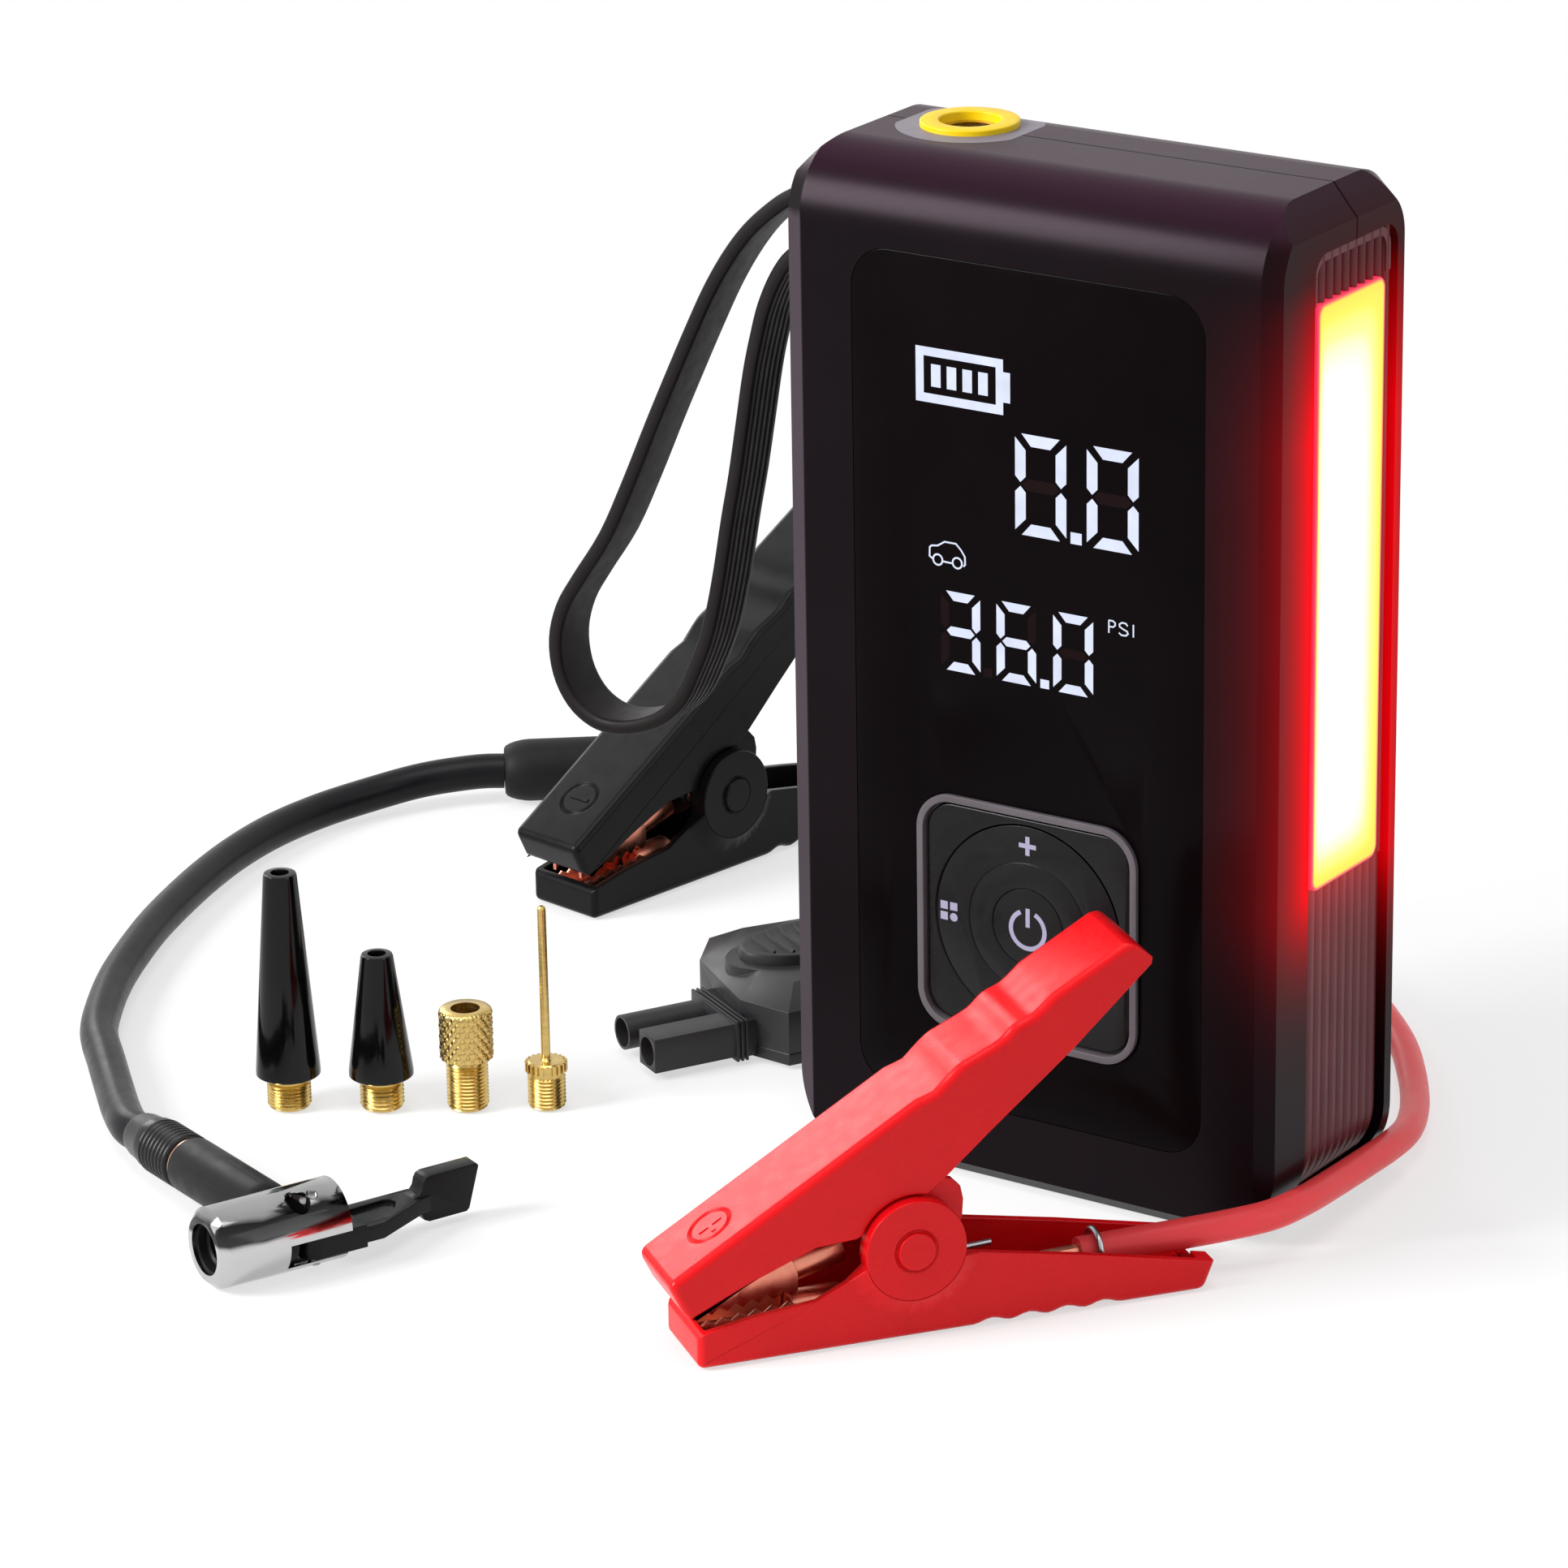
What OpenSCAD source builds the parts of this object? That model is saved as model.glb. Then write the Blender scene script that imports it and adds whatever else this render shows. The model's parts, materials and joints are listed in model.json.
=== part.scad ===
// Jump starter with built-in tyre inflator, jump leads, air hose and nozzles.
// Origin: centre of the case's base. The front faces -Y, the lamp side +X, up is +Z.

/* [Case] */
// Width of the case
case_w = 98; // [96:1:100]
// Depth of the case
case_d = 46; // [45:1:47]
// Height of the case
case_h = 184; // [182:1:188]
// Thickness of the case walls
wall = 2; // [1.8:0.1:2.2]
// Rounding where the front turns into the top
front_top_r = 13; // [11:1:14]
// Rounding where the back turns into the top
back_top_r = 12; // [10:1:13]
// Rounding of the two bottom corners, seen from the front
foot_r = 13.5; // [12:0.5:14]
// Width of the bevel along the front's upright edges
edge_bevel = 3.4; // [3:0.1:3.8]
// Distance of the parting line behind the middle of the case
parting_y = 3; // [2:0.5:4]

/* [Front] */
// Half width of the glossy window
window_half_w = 35.2; // [34:0.2:36]
// Bottom edge of the window
window_low = 14; // [13:0.5:16]
// Top edge of the window
window_high = 168.5; // [166:0.5:169]
// Height of the control pad's centre
pad_z = 50; // [48:0.5:52]
// Radius of the four-way ring
ring_r = 18.7; // [18:0.1:18.8]
// Radius of the power button
power_r = 7.1; // [6.6:0.1:7.4]

/* [Lamp side] */
// Number of ribs on the grille
rib_count = 10; // [10:1:10]
// Distance from one rib to the next
rib_pitch = 2.75; // [2.6:0.05:2.8]
// Bottom edge of the lamp
lamp_low = 61.6; // [60:0.2:64]
// Top edge of the lamp
lamp_high = 166.3; // [164:0.2:167]

/* [Air outlet] */
// Sideways place of the air outlet
outlet_x = -28.6; // [-29.2:0.2:-28]
// Front-to-back place of the air outlet
outlet_y = 5; // [4.5:0.1:5.5]
// Radius of the thread's bore
outlet_bore_r = 4; // [3.9:0.1:4.1]

/* [Carry strap] */
// Width of the strap
strap_w = 10; // [9:0.5:11]
// Thickness of the strap
strap_t = 2.8; // [2.4:0.1:3]

/* [Clamps] */
// Width of a clamp
clamp_w = 17.5; // [17:0.5:18]
// Thickness of a clamp's walls
clamp_wall = 1.6; // [1.4:0.1:1.8]

/* [Cords] */
// Diameter of the two jump cables
cable_d = 5.4; // [5:0.1:5.6]
// Diameter of the air hose
hose_d = 7.2; // [7:0.1:7.4]

/* [Hidden] */
$fn = 64;
slack = 0.05;
x_side = case_w / 2;
y_front = -case_d / 2;
y_back = case_d / 2;

// ---- Colours ----
case_black = [0.10, 0.09, 0.10];
gloss_black = [0.03, 0.03, 0.035];
trim_grey = [0.36, 0.35, 0.36];
rib_maroon = [0.45, 0.22, 0.25];
lamp_white = [1, 0.93, 0.85];
ring_yellow = [0.92, 0.80, 0.30];
brass_gold = [0.80, 0.62, 0.30];
steel_grey = [0.70, 0.70, 0.72];
chrome_silver = [0.80, 0.81, 0.83];
copper_red = [0.72, 0.42, 0.30];
clamp_red = [0.90, 0.12, 0.15];
clamp_black = [0.11, 0.11, 0.12];
rubber_black = [0.14, 0.14, 0.15];
board_green = [0.10, 0.32, 0.20];
cell_blue = [0.30, 0.38, 0.50];

// ---- Points and curves ----
function arc(c, r, a0, a1, n = 8) =
    [for (i = [0:n]) let (a = a0 + (a1 - a0) * i / n) c + r * [cos(a), sin(a)]];
// One point of a smooth curve through b and c, with a and d as its neighbours
function blend(a, b, c, d, t) =
    0.5 * (2 * b + (c - a) * t + (2 * a - 5 * b + 4 * c - d) * t * t + (3 * b - a - 3 * c + d) * t * t * t);
function smooth(p, n) = let (m = len(p) - 1) concat(
    [for (i = [0:m - 1], k = [0:n - 1]) blend(p[max(i - 1, 0)], p[i], p[i + 1], p[min(i + 2, m)], k / n)],
    [p[m]]);
function unit(v) = v / norm(v);
function direction(p, i) = unit(p[min(i + 1, len(p) - 1)] - p[max(i - 1, 0)]);
// The two edges of a band of thickness t along a flat curve, as one closed outline
function band(p, t) = let (m = len(p) - 1) concat(
    [for (i = [0:m]) let (d = direction(p, i)) p[i] + t / 2 * [-d[1], d[0]]],
    [for (i = [m:-1:0]) let (d = direction(p, i)) p[i] - t / 2 * [-d[1], d[0]]]);
// A gentle row of finger waves from x0 to x1 at height z, rising by h between the fingers
function waves(x0, x1, z, h, count, n = 24) =
    [for (i = [0:n]) [x0 + (x1 - x0) * i / n, z + h * (1 - cos(360 * count * i / n)) / 2]];

// A rectangle with round corners: bottom left, bottom right, top right, top left
module rounded(x0, y0, x1, y1, r) {
    corners = [[x0 + r[0], y0 + r[0]], [x1 - r[1], y0 + r[1]], [x1 - r[2], y1 - r[2]], [x0 + r[3], y1 - r[3]]];
    union() {
        polygon([[x0, y0 + r[0]], [x0 + r[0], y0], [x1 - r[1], y0], [x1, y0 + r[1]],
            [x1, y1 - r[2]], [x1 - r[2], y1], [x0 + r[3], y1], [x0, y1 - r[3]]]);
        for (i = [0:3]) if (r[i] > 0) translate(corners[i]) circle(r[i]);
    }
}
// Flat outlines in Y and Z swept along X, and in X and Z swept along Y
module along_x(length) rotate([90, 0, 90]) linear_extrude(length) children();
module along_y(length) translate([0, length / 2, 0]) rotate([90, 0, 0]) linear_extrude(length) children();
// A rod from one point to another
module rod(a, b, r) {
    v = b - a;
    translate(a) rotate([0, acos(v[2] / norm(v)), atan2(v[1], v[0])]) cylinder(r = r, h = norm(v));
}
// A flexible tube swept along its route
module tube(p, r, sides = 10) {
    m = len(p) - 1;
    points = [for (i = [0:m], k = [0:sides - 1])
        let (d = direction(p, i), s = unit(cross([0, 0, 1], d)), u = cross(d, s), a = 360 * (k + 0.5) / sides)
        p[i] + r * (cos(a) * s + sin(a) * u)];
    walls = [for (i = [0:m - 1], k = [0:sides - 1])
        let (a = i * sides + k, b = i * sides + (k + 1) % sides, c = b + sides, d = a + sides)
        each [[a, d, c], [a, c, b]]];
    ends = [[for (k = [0:sides - 1]) k], [for (k = [sides - 1:-1:0]) m * sides + k]];
    polyhedron(points, concat(walls, ends));
}

// ---- Case ----
foot_bevel = 2.5;
back_foot_r = 3;
edge_depth = 1.6;
back_depth = 3.4;
shoulder_w = 4.6;
shoulder_h = 5.6;

// The bevels get smaller towards the inside, so that the walls behind them keep their thickness
function drawn_in(size, inset) = size - 0.6 * inset;

// The case's outer form, drawn in by the given amount all round
module case_form(inset) {
    x = x_side - inset;
    difference() {
        case_block(inset);
        for (s = [0, 1]) mirror([s, 0, 0]) {
            round_bevel(x, [y_front + front_top_r, case_h - front_top_r], front_top_r - inset, edge_bevel,
                edge_depth, -1);
            round_bevel(x, [y_back - back_top_r, case_h - back_top_r], back_top_r - inset,
                drawn_in(shoulder_w, inset), drawn_in(back_depth, inset), 1);
        }
    }
}
// What a bevel takes away where it follows a rounding of the side: w wide and d deep, about the
// rounding's centre, towards the front or the back
module round_bevel(x, centre, r, w, d, way) {
    reach = r + 2;
    translate([x - w - 1, centre[0], centre[1]]) difference() {
        translate([0, way > 0 ? 0 : -reach, 0]) cube([w + 2, reach, reach]);
        rotate([0, 90, 0]) cylinder(r1 = r + d / w, r2 = r - d - d / w, h = w + 2);
    }
}
module case_block(inset) {
    x = x_side - inset;
    intersection() {
        translate([-x, 0, 0]) along_x(2 * x)
            difference() {
                rounded(y_front + inset, inset, y_back - inset, case_h - inset,
                    [0, back_foot_r - inset / 2, back_top_r - inset, front_top_r - inset]);
                translate([y_front + inset, inset]) rotate(45)
                    square(foot_bevel * sqrt(2), center = true);
            }
        along_y(case_d) front_outline(inset);
        linear_extrude(case_h) plan_outline(inset);
    }
}
module front_outline(inset) {
    x = x_side - inset;
    r = foot_r - inset;
    top = case_h - inset;
    w = drawn_in(shoulder_w, inset);
    h = drawn_in(shoulder_h, inset);
    union() {
        polygon([[-x, inset + r], [-x + r, inset], [x - r, inset], [x, inset + r], [x, top - h],
            [x - w, top], [-x + w, top], [-x, top - h]]);
        for (s = [-1, 1]) translate([s * (x - r), inset + r]) circle(r);
    }
}
module plan_outline(inset) {
    x = x_side - inset;
    y0 = y_front + inset;
    y1 = y_back - inset;
    w = drawn_in(shoulder_w, inset);
    d = drawn_in(back_depth, inset);
    polygon([[-x, y0 + edge_depth], [-x + edge_bevel, y0], [x - edge_bevel, y0], [x, y0 + edge_depth],
        [x, y1 - d], [x - w, y1], [-x + w, y1], [-x, y1 - d]]);
}

// ---- Openings through the case ----
grille_y0 = -10.9;
grille_y1 = 17.3;
grille_low = 4;
grille_high = 174.7;
grille_corner = 4;
flange = 2;
anchor_y0 = -3.5;
anchor_y1 = 9.5;
anchor_low = 154;
anchor_high = 176;
cover_y0 = -15.5;
cover_y1 = -2.5;
cover_low = 29;
cover_high = 58;
usb_y = -9;
usb_a = [12.4, 4.8];
usb_c = [8.6, 3];
usb_a_z = 76;
usb_c_z = 92;
window_t = 1.2;
screw_at = [[-41, 16], [41, 16], [-41, 146], [41, 170]];
screw_r = 1.25;
post_r = 3.8;
head_r = 2.4;
bezel_half_w = 22.4;
bezel_half_h = 21.9;
bezel_r = 7;

// Side openings are swept along X and start inside the case
module grille_hole(grow) translate([x_side - 16, 0, 0]) along_x(20)
    rounded(grille_y0 - grow, grille_low - grow, grille_y1 + grow, grille_high + grow,
        [0, 0, grille_corner, grille_corner]);
module anchor_hole(grow) translate([-x_side - 4, 0, 0]) along_x(12)
    rounded(anchor_y0 - grow, anchor_low - grow, anchor_y1 + grow, anchor_high + grow, [3, 3, 3, 3]);
module outlet_prism(grow) translate([outlet_x, outlet_y, case_h - 12]) linear_extrude(14)
    intersection() {
        circle(13 + grow);
        square([2 * (11.8 + grow), 40], center = true);
    }
module window_outline(shrink) rounded(-window_half_w + shrink, window_low + shrink, window_half_w - shrink,
    window_high - shrink, [7.5, 7.5, 7.5, 7.5]);
module pad_outline(half_w, half_h, r) translate([0, pad_z])
    rounded(-half_w, -half_h, half_w, half_h, [r, r, r, r]);

module shell_cuts() {
    // Seat and daylight opening of the window
    translate([0, y_front, 0]) along_y(2 * window_t) window_outline(0);
    translate([0, y_front, 0]) along_y(4 * wall) window_outline(3);
    grille_hole(0);
    anchor_hole(0);
    outlet_prism(0);
    // Port cover's recess and the two charging sockets
    translate([-x_side - 4, 0, 0]) along_x(8)
        rounded(cover_y0, cover_low, cover_y1, cover_high, [2, 2, 0.5, 0.5]);
    translate([-x_side - 4, usb_y - usb_a[1] / 2, usb_a_z - usb_a[0] / 2]) cube([8, usb_a[1], usb_a[0]]);
    translate([-x_side - 4, 0, 0]) along_x(8) translate([usb_y, usb_c_z]) socket_outline(usb_c);
}
module socket_outline(size) union() {
    square([size[1], size[0] - size[1]], center = true);
    for (s = [-1, 1]) translate([0, s * (size[0] - size[1]) / 2]) circle(size[1] / 2);
}
module at_screws() for (p = screw_at) translate([p[0], 0, p[1]]) children();

board_y = -17;
board_t = 1.4;

module front_shell() color(case_black) difference() {
    union() {
        intersection() {
            difference() {
                case_form(0);
                case_form(wall);
            }
            translate([-x_side, y_front, 0]) cube([case_w, parting_y - y_front, case_h]);
        }
        // Screw bosses and the board's posts
        at_screws() translate([0, y_front + wall / 2, 0]) rotate([-90, 0, 0])
            cylinder(r = 3.4, h = parting_y - y_front - wall / 2);
        for (x = [-38, 38], z = [30, 130]) translate([x, y_front + wall / 2, z]) rotate([-90, 0, 0])
            cylinder(r = 2.6, h = board_y - y_front - wall / 2);
    }
    shell_cuts();
    at_screws() translate([0, -12, 0]) rotate([-90, 0, 0]) cylinder(r = screw_r + slack, h = 20);
}

module back_shell() color(case_black) difference() {
    union() {
        intersection() {
            difference() {
                case_form(0);
                case_form(wall);
            }
            translate([-x_side, parting_y, 0]) cube([case_w, y_back - parting_y, case_h]);
        }
        at_screws() translate([0, parting_y, 0]) rotate([-90, 0, 0])
            cylinder(r = post_r, h = y_back - parting_y - wall / 2);
        // Seats that carry the pump
        for (x = [-32, -12]) translate([x, pump_plate_y + pump_plate_t, 146]) rotate([-90, 0, 0])
            cylinder(r = 3, h = y_back - pump_plate_y - pump_plate_t - wall / 2);
    }
    shell_cuts();
    at_screws() translate([0, parting_y - 1, 0]) rotate([-90, 0, 0]) cylinder(r = screw_r + slack, h = case_d);
    at_screws() translate([0, y_back - 3, 0]) rotate([-90, 0, 0]) cylinder(r = head_r + slack, h = 4);
}

module case_screws() color(steel_grey) at_screws() {
    translate([0, -8, 0]) rotate([-90, 0, 0]) cylinder(r = screw_r, h = y_back - 3 + 8);
    translate([0, y_back - 3, 0]) rotate([-90, 0, 0]) difference() {
        cylinder(r = head_r, h = 2.2);
        for (a = [0, 90]) rotate(a) translate([-1.5, -0.3, 1.2]) cube([3, 0.6, 2]);
    }
}

// ---- Front ----
module display_window() color(gloss_black) translate([0, y_front + window_t / 2, 0]) along_y(window_t)
    difference() {
        window_outline(0);
        pad_outline(bezel_half_w, bezel_half_h, bezel_r);
    }

module display_board() color(board_green) union() {
    translate([-30, y_front + window_t, 84]) cube([60, 1.6, 78]);
    // Ribbon cable's plug
    translate([-9, y_front + window_t + 1.6, 88]) cube([18, board_y - y_front - window_t - 1.6, 4]);
}

bezel_proud = 0.7;
rim = 1.3;
module pad_bezel() color(trim_grey) translate([0, y_front, 0]) union() {
    translate([0, 0.65, 0]) along_y(2 * bezel_proud + 1.3) difference() {
        pad_outline(bezel_half_w, bezel_half_h, bezel_r);
        pad_outline(bezel_half_w - rim, bezel_half_h - rim, bezel_r - rim);
    }
    // Inner ledge that carries the pad plate
    translate([0, 2.0, 0]) along_y(1.4) difference() {
        pad_outline(bezel_half_w - 0.2, bezel_half_h - 0.2, bezel_r - 0.2);
        pad_outline(bezel_half_w - 2.9, bezel_half_h - 2.5, bezel_r - 2.4);
    }
}

key_y = y_front + 0.1;
key_t = 1.3;
pad_gap = 0.45;
module at_pad(y) translate([0, y, pad_z]) rotate([-90, 0, 0]) children();
module pad_plate() color(gloss_black) difference() {
    translate([0, key_y + 0.6, 0]) along_y(1.2)
        pad_outline(bezel_half_w - rim - pad_gap, bezel_half_h - rim - pad_gap, bezel_r - rim - pad_gap);
    at_pad(key_y - 1) cylinder(r = ring_r + 0.15, h = 4);
}
module power_button() color(gloss_black) union() {
    at_pad(key_y) cylinder(r = power_r, h = key_t);
    at_pad(key_y + key_t) cylinder(r = 3, h = 0.1);
}
power_gap = 0.15;
module menu_ring() color(gloss_black) at_pad(key_y) difference() {
    cylinder(r = ring_r, h = key_t);
    translate([0, 0, -1]) cylinder(r = power_r + power_gap, h = 4);
    // Fine groove between the ring's inner collar and its four keys
    translate([0, 0, -1]) difference() {
        cylinder(r = 12.1, h = 1.15);
        cylinder(r = 11.9, h = 1.15);
    }
}
carrier_y = key_y + key_t + 0.4;
module rocker_carrier() color(trim_grey) at_pad(carrier_y) difference() {
    cylinder(r = 11.5, h = 0.8);
    translate([0, 0, -1]) cylinder(r = 9, h = 3);
}

// ---- Inside ----
switch_top = carrier_y + 0.35;
module main_board() color(board_green) union() {
    difference() {
        translate([-40.5, board_y, 26]) cube([81, board_t, 134]);
        at_screws() translate([0, y_front, 0]) rotate([-90, 0, 0]) cylinder(r = 4, h = 20);
    }
    // Five press switches and the carrier's two rests
    for (p = [[0, 0], [0, 15.5], [0, -15.5], [-15.5, 0], [15.5, 0]])
        translate([p[0], switch_top + 0.3, pad_z + p[1]]) {
            rotate([-90, 0, 0]) cylinder(r = 1.5, h = 2);
            translate([-2.6, 1, -2.6]) cube([5.2, board_y - switch_top - 1.3, 5.2]);
        }
    for (s = [-1, 1]) translate([0, carrier_y + 0.85, pad_z + s * 10.2]) rotate([-90, 0, 0])
        cylinder(r = 0.7, h = board_y - carrier_y - 0.85);
    // Charging sockets at the left edge
    usb_shell(usb_a_z, usb_a);
    usb_shell(usb_c_z, usb_c);
}
module usb_shell(z, size) translate([-x_side + wall, usb_y, z]) {
    difference() {
        translate([0, -size[1] / 2 - 0.6, -size[0] / 2 - 0.6]) cube([13, size[1] + 1.2, size[0] + 1.2]);
        translate([-1, -size[1] / 2, -size[0] / 2]) cube([11, size[1], size[0]]);
    }
    translate([1, -0.5, -size[0] / 2 + 1]) cube([11, 1, size[0] - 2]);
    translate([8, board_y - usb_y + board_t, -size[0] / 2])
        cube([5, -board_y + usb_y - board_t - size[1] / 2, size[0]]);
}

module battery_cells() color(cell_blue) for (i = [0:2])
    translate([-23, -13 + 8.4 * i, wall]) cube([55, 8, 94]);

// The pump: motor and pinion drive the crank gear, whose pin drives the piston
gear_module = 0.8;
pinion_teeth = 10;
crank_teeth = 30;
crank_z = 112;
crank_y = outlet_y + 2.2;
gear_t = 4;
stroke = 12;
motor_x = outlet_x + gear_module * (pinion_teeth + crank_teeth) / 2;
pump_plate_y = crank_y + gear_t + 0.4;
pump_plate_t = 2.4;
bore_r = 6;
piston_low = crank_z + stroke / 2 + 20;

function tooth(n, i, half_root, half_tip) = let (a = 360 / n * i, root = gear_module * (n / 2 - 1.1),
    tip = gear_module * (n / 2 + 0.8), r0 = half_root * 360 / n, r1 = half_tip * 360 / n)
    [for (q = [[root, -r0], [tip, -r1], [tip, r1], [root, r0]]) q[0] * [cos(a + q[1]), sin(a + q[1])]];
module gear_outline(n, phase) rotate(phase)
    polygon([for (i = [0:n - 1]) each tooth(n, i, 0.30, 0.09)]);
module at_shaft(x, y) translate([x, y, crank_z]) rotate([-90, 0, 0]) children();

module motor_pinion() color(brass_gold) union() {
    at_shaft(motor_x, crank_y) linear_extrude(gear_t) gear_outline(pinion_teeth, 0);
    at_shaft(motor_x, 4.6) cylinder(r = 1.2, h = crank_y - 4.6 + 1);
}
module crank_gear() color(trim_grey) difference() {
    union() {
        at_shaft(outlet_x, crank_y) linear_extrude(gear_t) gear_outline(crank_teeth, 6);
        at_shaft(outlet_x, crank_y + gear_t - 1) cylinder(r = 2, h = 3.6);
    }
    at_shaft(outlet_x, crank_y - 1) rotate(-90) translate([stroke / 2, 0, 0]) cylinder(r = 1.2, h = 4);
}
module pump_piston() color(steel_grey) difference() {
    union() {
        translate([outlet_x, outlet_y, piston_low]) cylinder(r = bore_r - slack, h = 9);
        translate([outlet_x - 2, outlet_y - 1.4, crank_z + stroke / 2 + 2]) cube([4, 2.8, 19]);
        at_shaft(outlet_x, outlet_y - 1.4) translate([0, -stroke / 2, 0]) cylinder(r = 3.2, h = 2.8);
        at_shaft(outlet_x, outlet_y - 1.4) translate([0, -stroke / 2, 0]) cylinder(r = 1.1, h = 3.2);
    }
    // Grooves for the two sealing rings
    for (z = [2.5, 6]) translate([outlet_x, outlet_y, piston_low + z]) difference() {
        cylinder(r = bore_r + 1, h = 1);
        cylinder(r = bore_r - 0.7, h = 1);
    }
}
module pump_housing() color(trim_grey) difference() {
    union() {
        translate([outlet_x, outlet_y, piston_low - stroke - 1]) cylinder(r = bore_r + 2, h = stroke + 14);
        translate([-36, pump_plate_y, 97.5]) cube([32, pump_plate_t, 54]);
        translate([outlet_x - 4, outlet_y + 5, piston_low - stroke - 1])
            cube([8, pump_plate_y - outlet_y - 4, stroke + 14]);
        // Ring and arm that hold the motor
        at_shaft(motor_x, 0) cylinder(r = 13, h = 3);
        translate([motor_x + 7, 0, crank_z - 6]) cube([6, pump_plate_y + pump_plate_t, 12]);
    }
    translate([outlet_x, outlet_y, piston_low - stroke - 2]) cylinder(r = bore_r, h = stroke + 13);
    translate([outlet_x, outlet_y, piston_low]) cylinder(r = 1.5, h = 20);
    at_shaft(motor_x, -1) cylinder(r = 11.6, h = crank_y + 1);
    at_shaft(outlet_x, crank_y) cylinder(r = 2 + slack, h = 12);
    at_shaft(motor_x, crank_y) cylinder(r = 6, h = 12);
}
module pump_motor() color(steel_grey) difference() {
    union() {
        at_shaft(motor_x, -17.5 + 2.4) cylinder(r = 11.5, h = 15.1 + 4.4);
        at_shaft(motor_x, 4.4) cylinder(r = 3.5, h = 1.2);
    }
    at_shaft(motor_x, 0) cylinder(r = 1.2 + slack, h = 8);
}

// ---- Air outlet ----
module outlet_plate() color(trim_grey) difference() {
    union() {
        intersection() {
            difference() {
                case_form(0);
                case_form(wall + 1);
            }
            outlet_prism(0);
        }
        intersection() {
            difference() {
                case_form(wall);
                case_form(wall + 1);
            }
            outlet_prism(1.5);
        }
    }
    translate([outlet_x, outlet_y, case_h - 10]) cylinder(r = 8.75, h = 12);
    translate([outlet_x, outlet_y, case_h - 10]) cylinder(r = 10, h = 7);
}
module outlet_ring() color(ring_yellow) translate([outlet_x, outlet_y, 0]) union() {
    translate([0, 0, case_h - 3]) difference() {
        cylinder(r = 8.75, h = 4);
        translate([0, 0, -1]) cylinder(r = 5.4, h = 6);
    }
    translate([0, 0, case_h - 4]) difference() {
        cylinder(r = 10, h = 1);
        translate([0, 0, -1]) cylinder(r = 5.4, h = 3);
    }
}
module outlet_fitting() color(brass_gold) translate([outlet_x, outlet_y, 0]) difference() {
    union() {
        translate([0, 0, case_h - 15]) cylinder(r = 5.35, h = 14.4);
        translate([0, 0, case_h - 16]) cylinder(r = 7, h = 4);
        translate([0, 0, piston_low + 13]) cylinder(r = 3, h = case_h - 15 - piston_low - 13);
    }
    translate([0, 0, case_h - 13]) cylinder(r = outlet_bore_r, h = 20);
    translate([0, 0, 100]) cylinder(r = 1.5, h = 80);
}

// ---- Lamp side ----
lamp_y0 = -9.8;
lamp_y1 = 13.4;
rib_w = 1.75;
rib_depth = 2;
module lamp_outline(grow) rounded(lamp_y0 - grow, lamp_low - grow, lamp_y1 + grow, lamp_high + grow,
    [2.4, 2.4, 2.4, 2.4]);
module side_grille() color(rib_maroon) difference() {
    union() {
        // Back plate with its glued flange
        intersection() {
            difference() {
                case_form(rib_depth);
                case_form(rib_depth + 1.2);
            }
            grille_hole(flange);
        }
        intersection() {
            difference() {
                case_form(0.3);
                case_form(rib_depth);
            }
            grille_hole(0);
            translate([x_side - 16, 0, grille_low]) for (i = [0:rib_count - 1])
                translate([0, grille_y0 + rib_pitch * i, 0])
                    cube([20, rib_w, grille_high - grille_low]);
        }
    }
    translate([x_side - 16, 0, 0]) along_x(20) lamp_outline(0);
    // Room for the back shell's screw posts
    at_screws() rotate([-90, 0, 0]) cylinder(r = post_r + 0.1, h = y_back);
}
module lamp_lens() color(lamp_white) translate([x_side - 3, 0, 0]) union() {
    along_x(3) lamp_outline(-0.1);
    translate([-0.8, 0, 0]) along_x(0.6) lamp_outline(1);
    translate([-0.4, 0, 0]) along_x(1) lamp_outline(-0.1);
}
module lamp_board() color(board_green) union() {
    translate([x_side - 7, lamp_y0 + 1, lamp_low + 1])
        cube([1.4, lamp_y1 - lamp_y0 - 2, lamp_high - lamp_low - 2]);
    for (i = [0:11], y = [-3.5, 7]) translate([x_side - 5.6, y - 1.4, lamp_low + 5 + 8.4 * i])
        cube([0.8, 2.8, 2.8]);
    for (z = [lamp_low + 2, lamp_high - 5]) translate([x_side - 5.6, lamp_y0 + 3, z]) cube([1.8, 3, 3]);
}

// ---- Left side ----
barrel_pitch = 10.7;
socket_z = (cover_low + cover_high) / 2;
socket_y = (cover_y0 + cover_y1) / 2;
socket_r = 3.6;
module jump_socket() color([0.12, 0.22, 0.42]) difference() {
    union() {
        translate([-x_side + wall, socket_y - 7.5, socket_z - 16]) cube([2, 15, 32]);
        translate([-x_side + wall + 2, socket_y - 5.2, socket_z - barrel_pitch / 2 - 5])
            cube([18, 10.4, barrel_pitch + 10]);
    }
    translate([-x_side, socket_y, socket_z + barrel_pitch / 2]) rotate([0, 90, 0])
        cylinder(r = socket_r, h = 20);
    translate([-x_side, socket_y - socket_r, socket_z - barrel_pitch / 2 - socket_r])
        cube([20, 2 * socket_r, 2 * socket_r]);
}
cover_t = 1.6;
hinge_r = 0.9;
cover_gap = 0.3;
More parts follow.
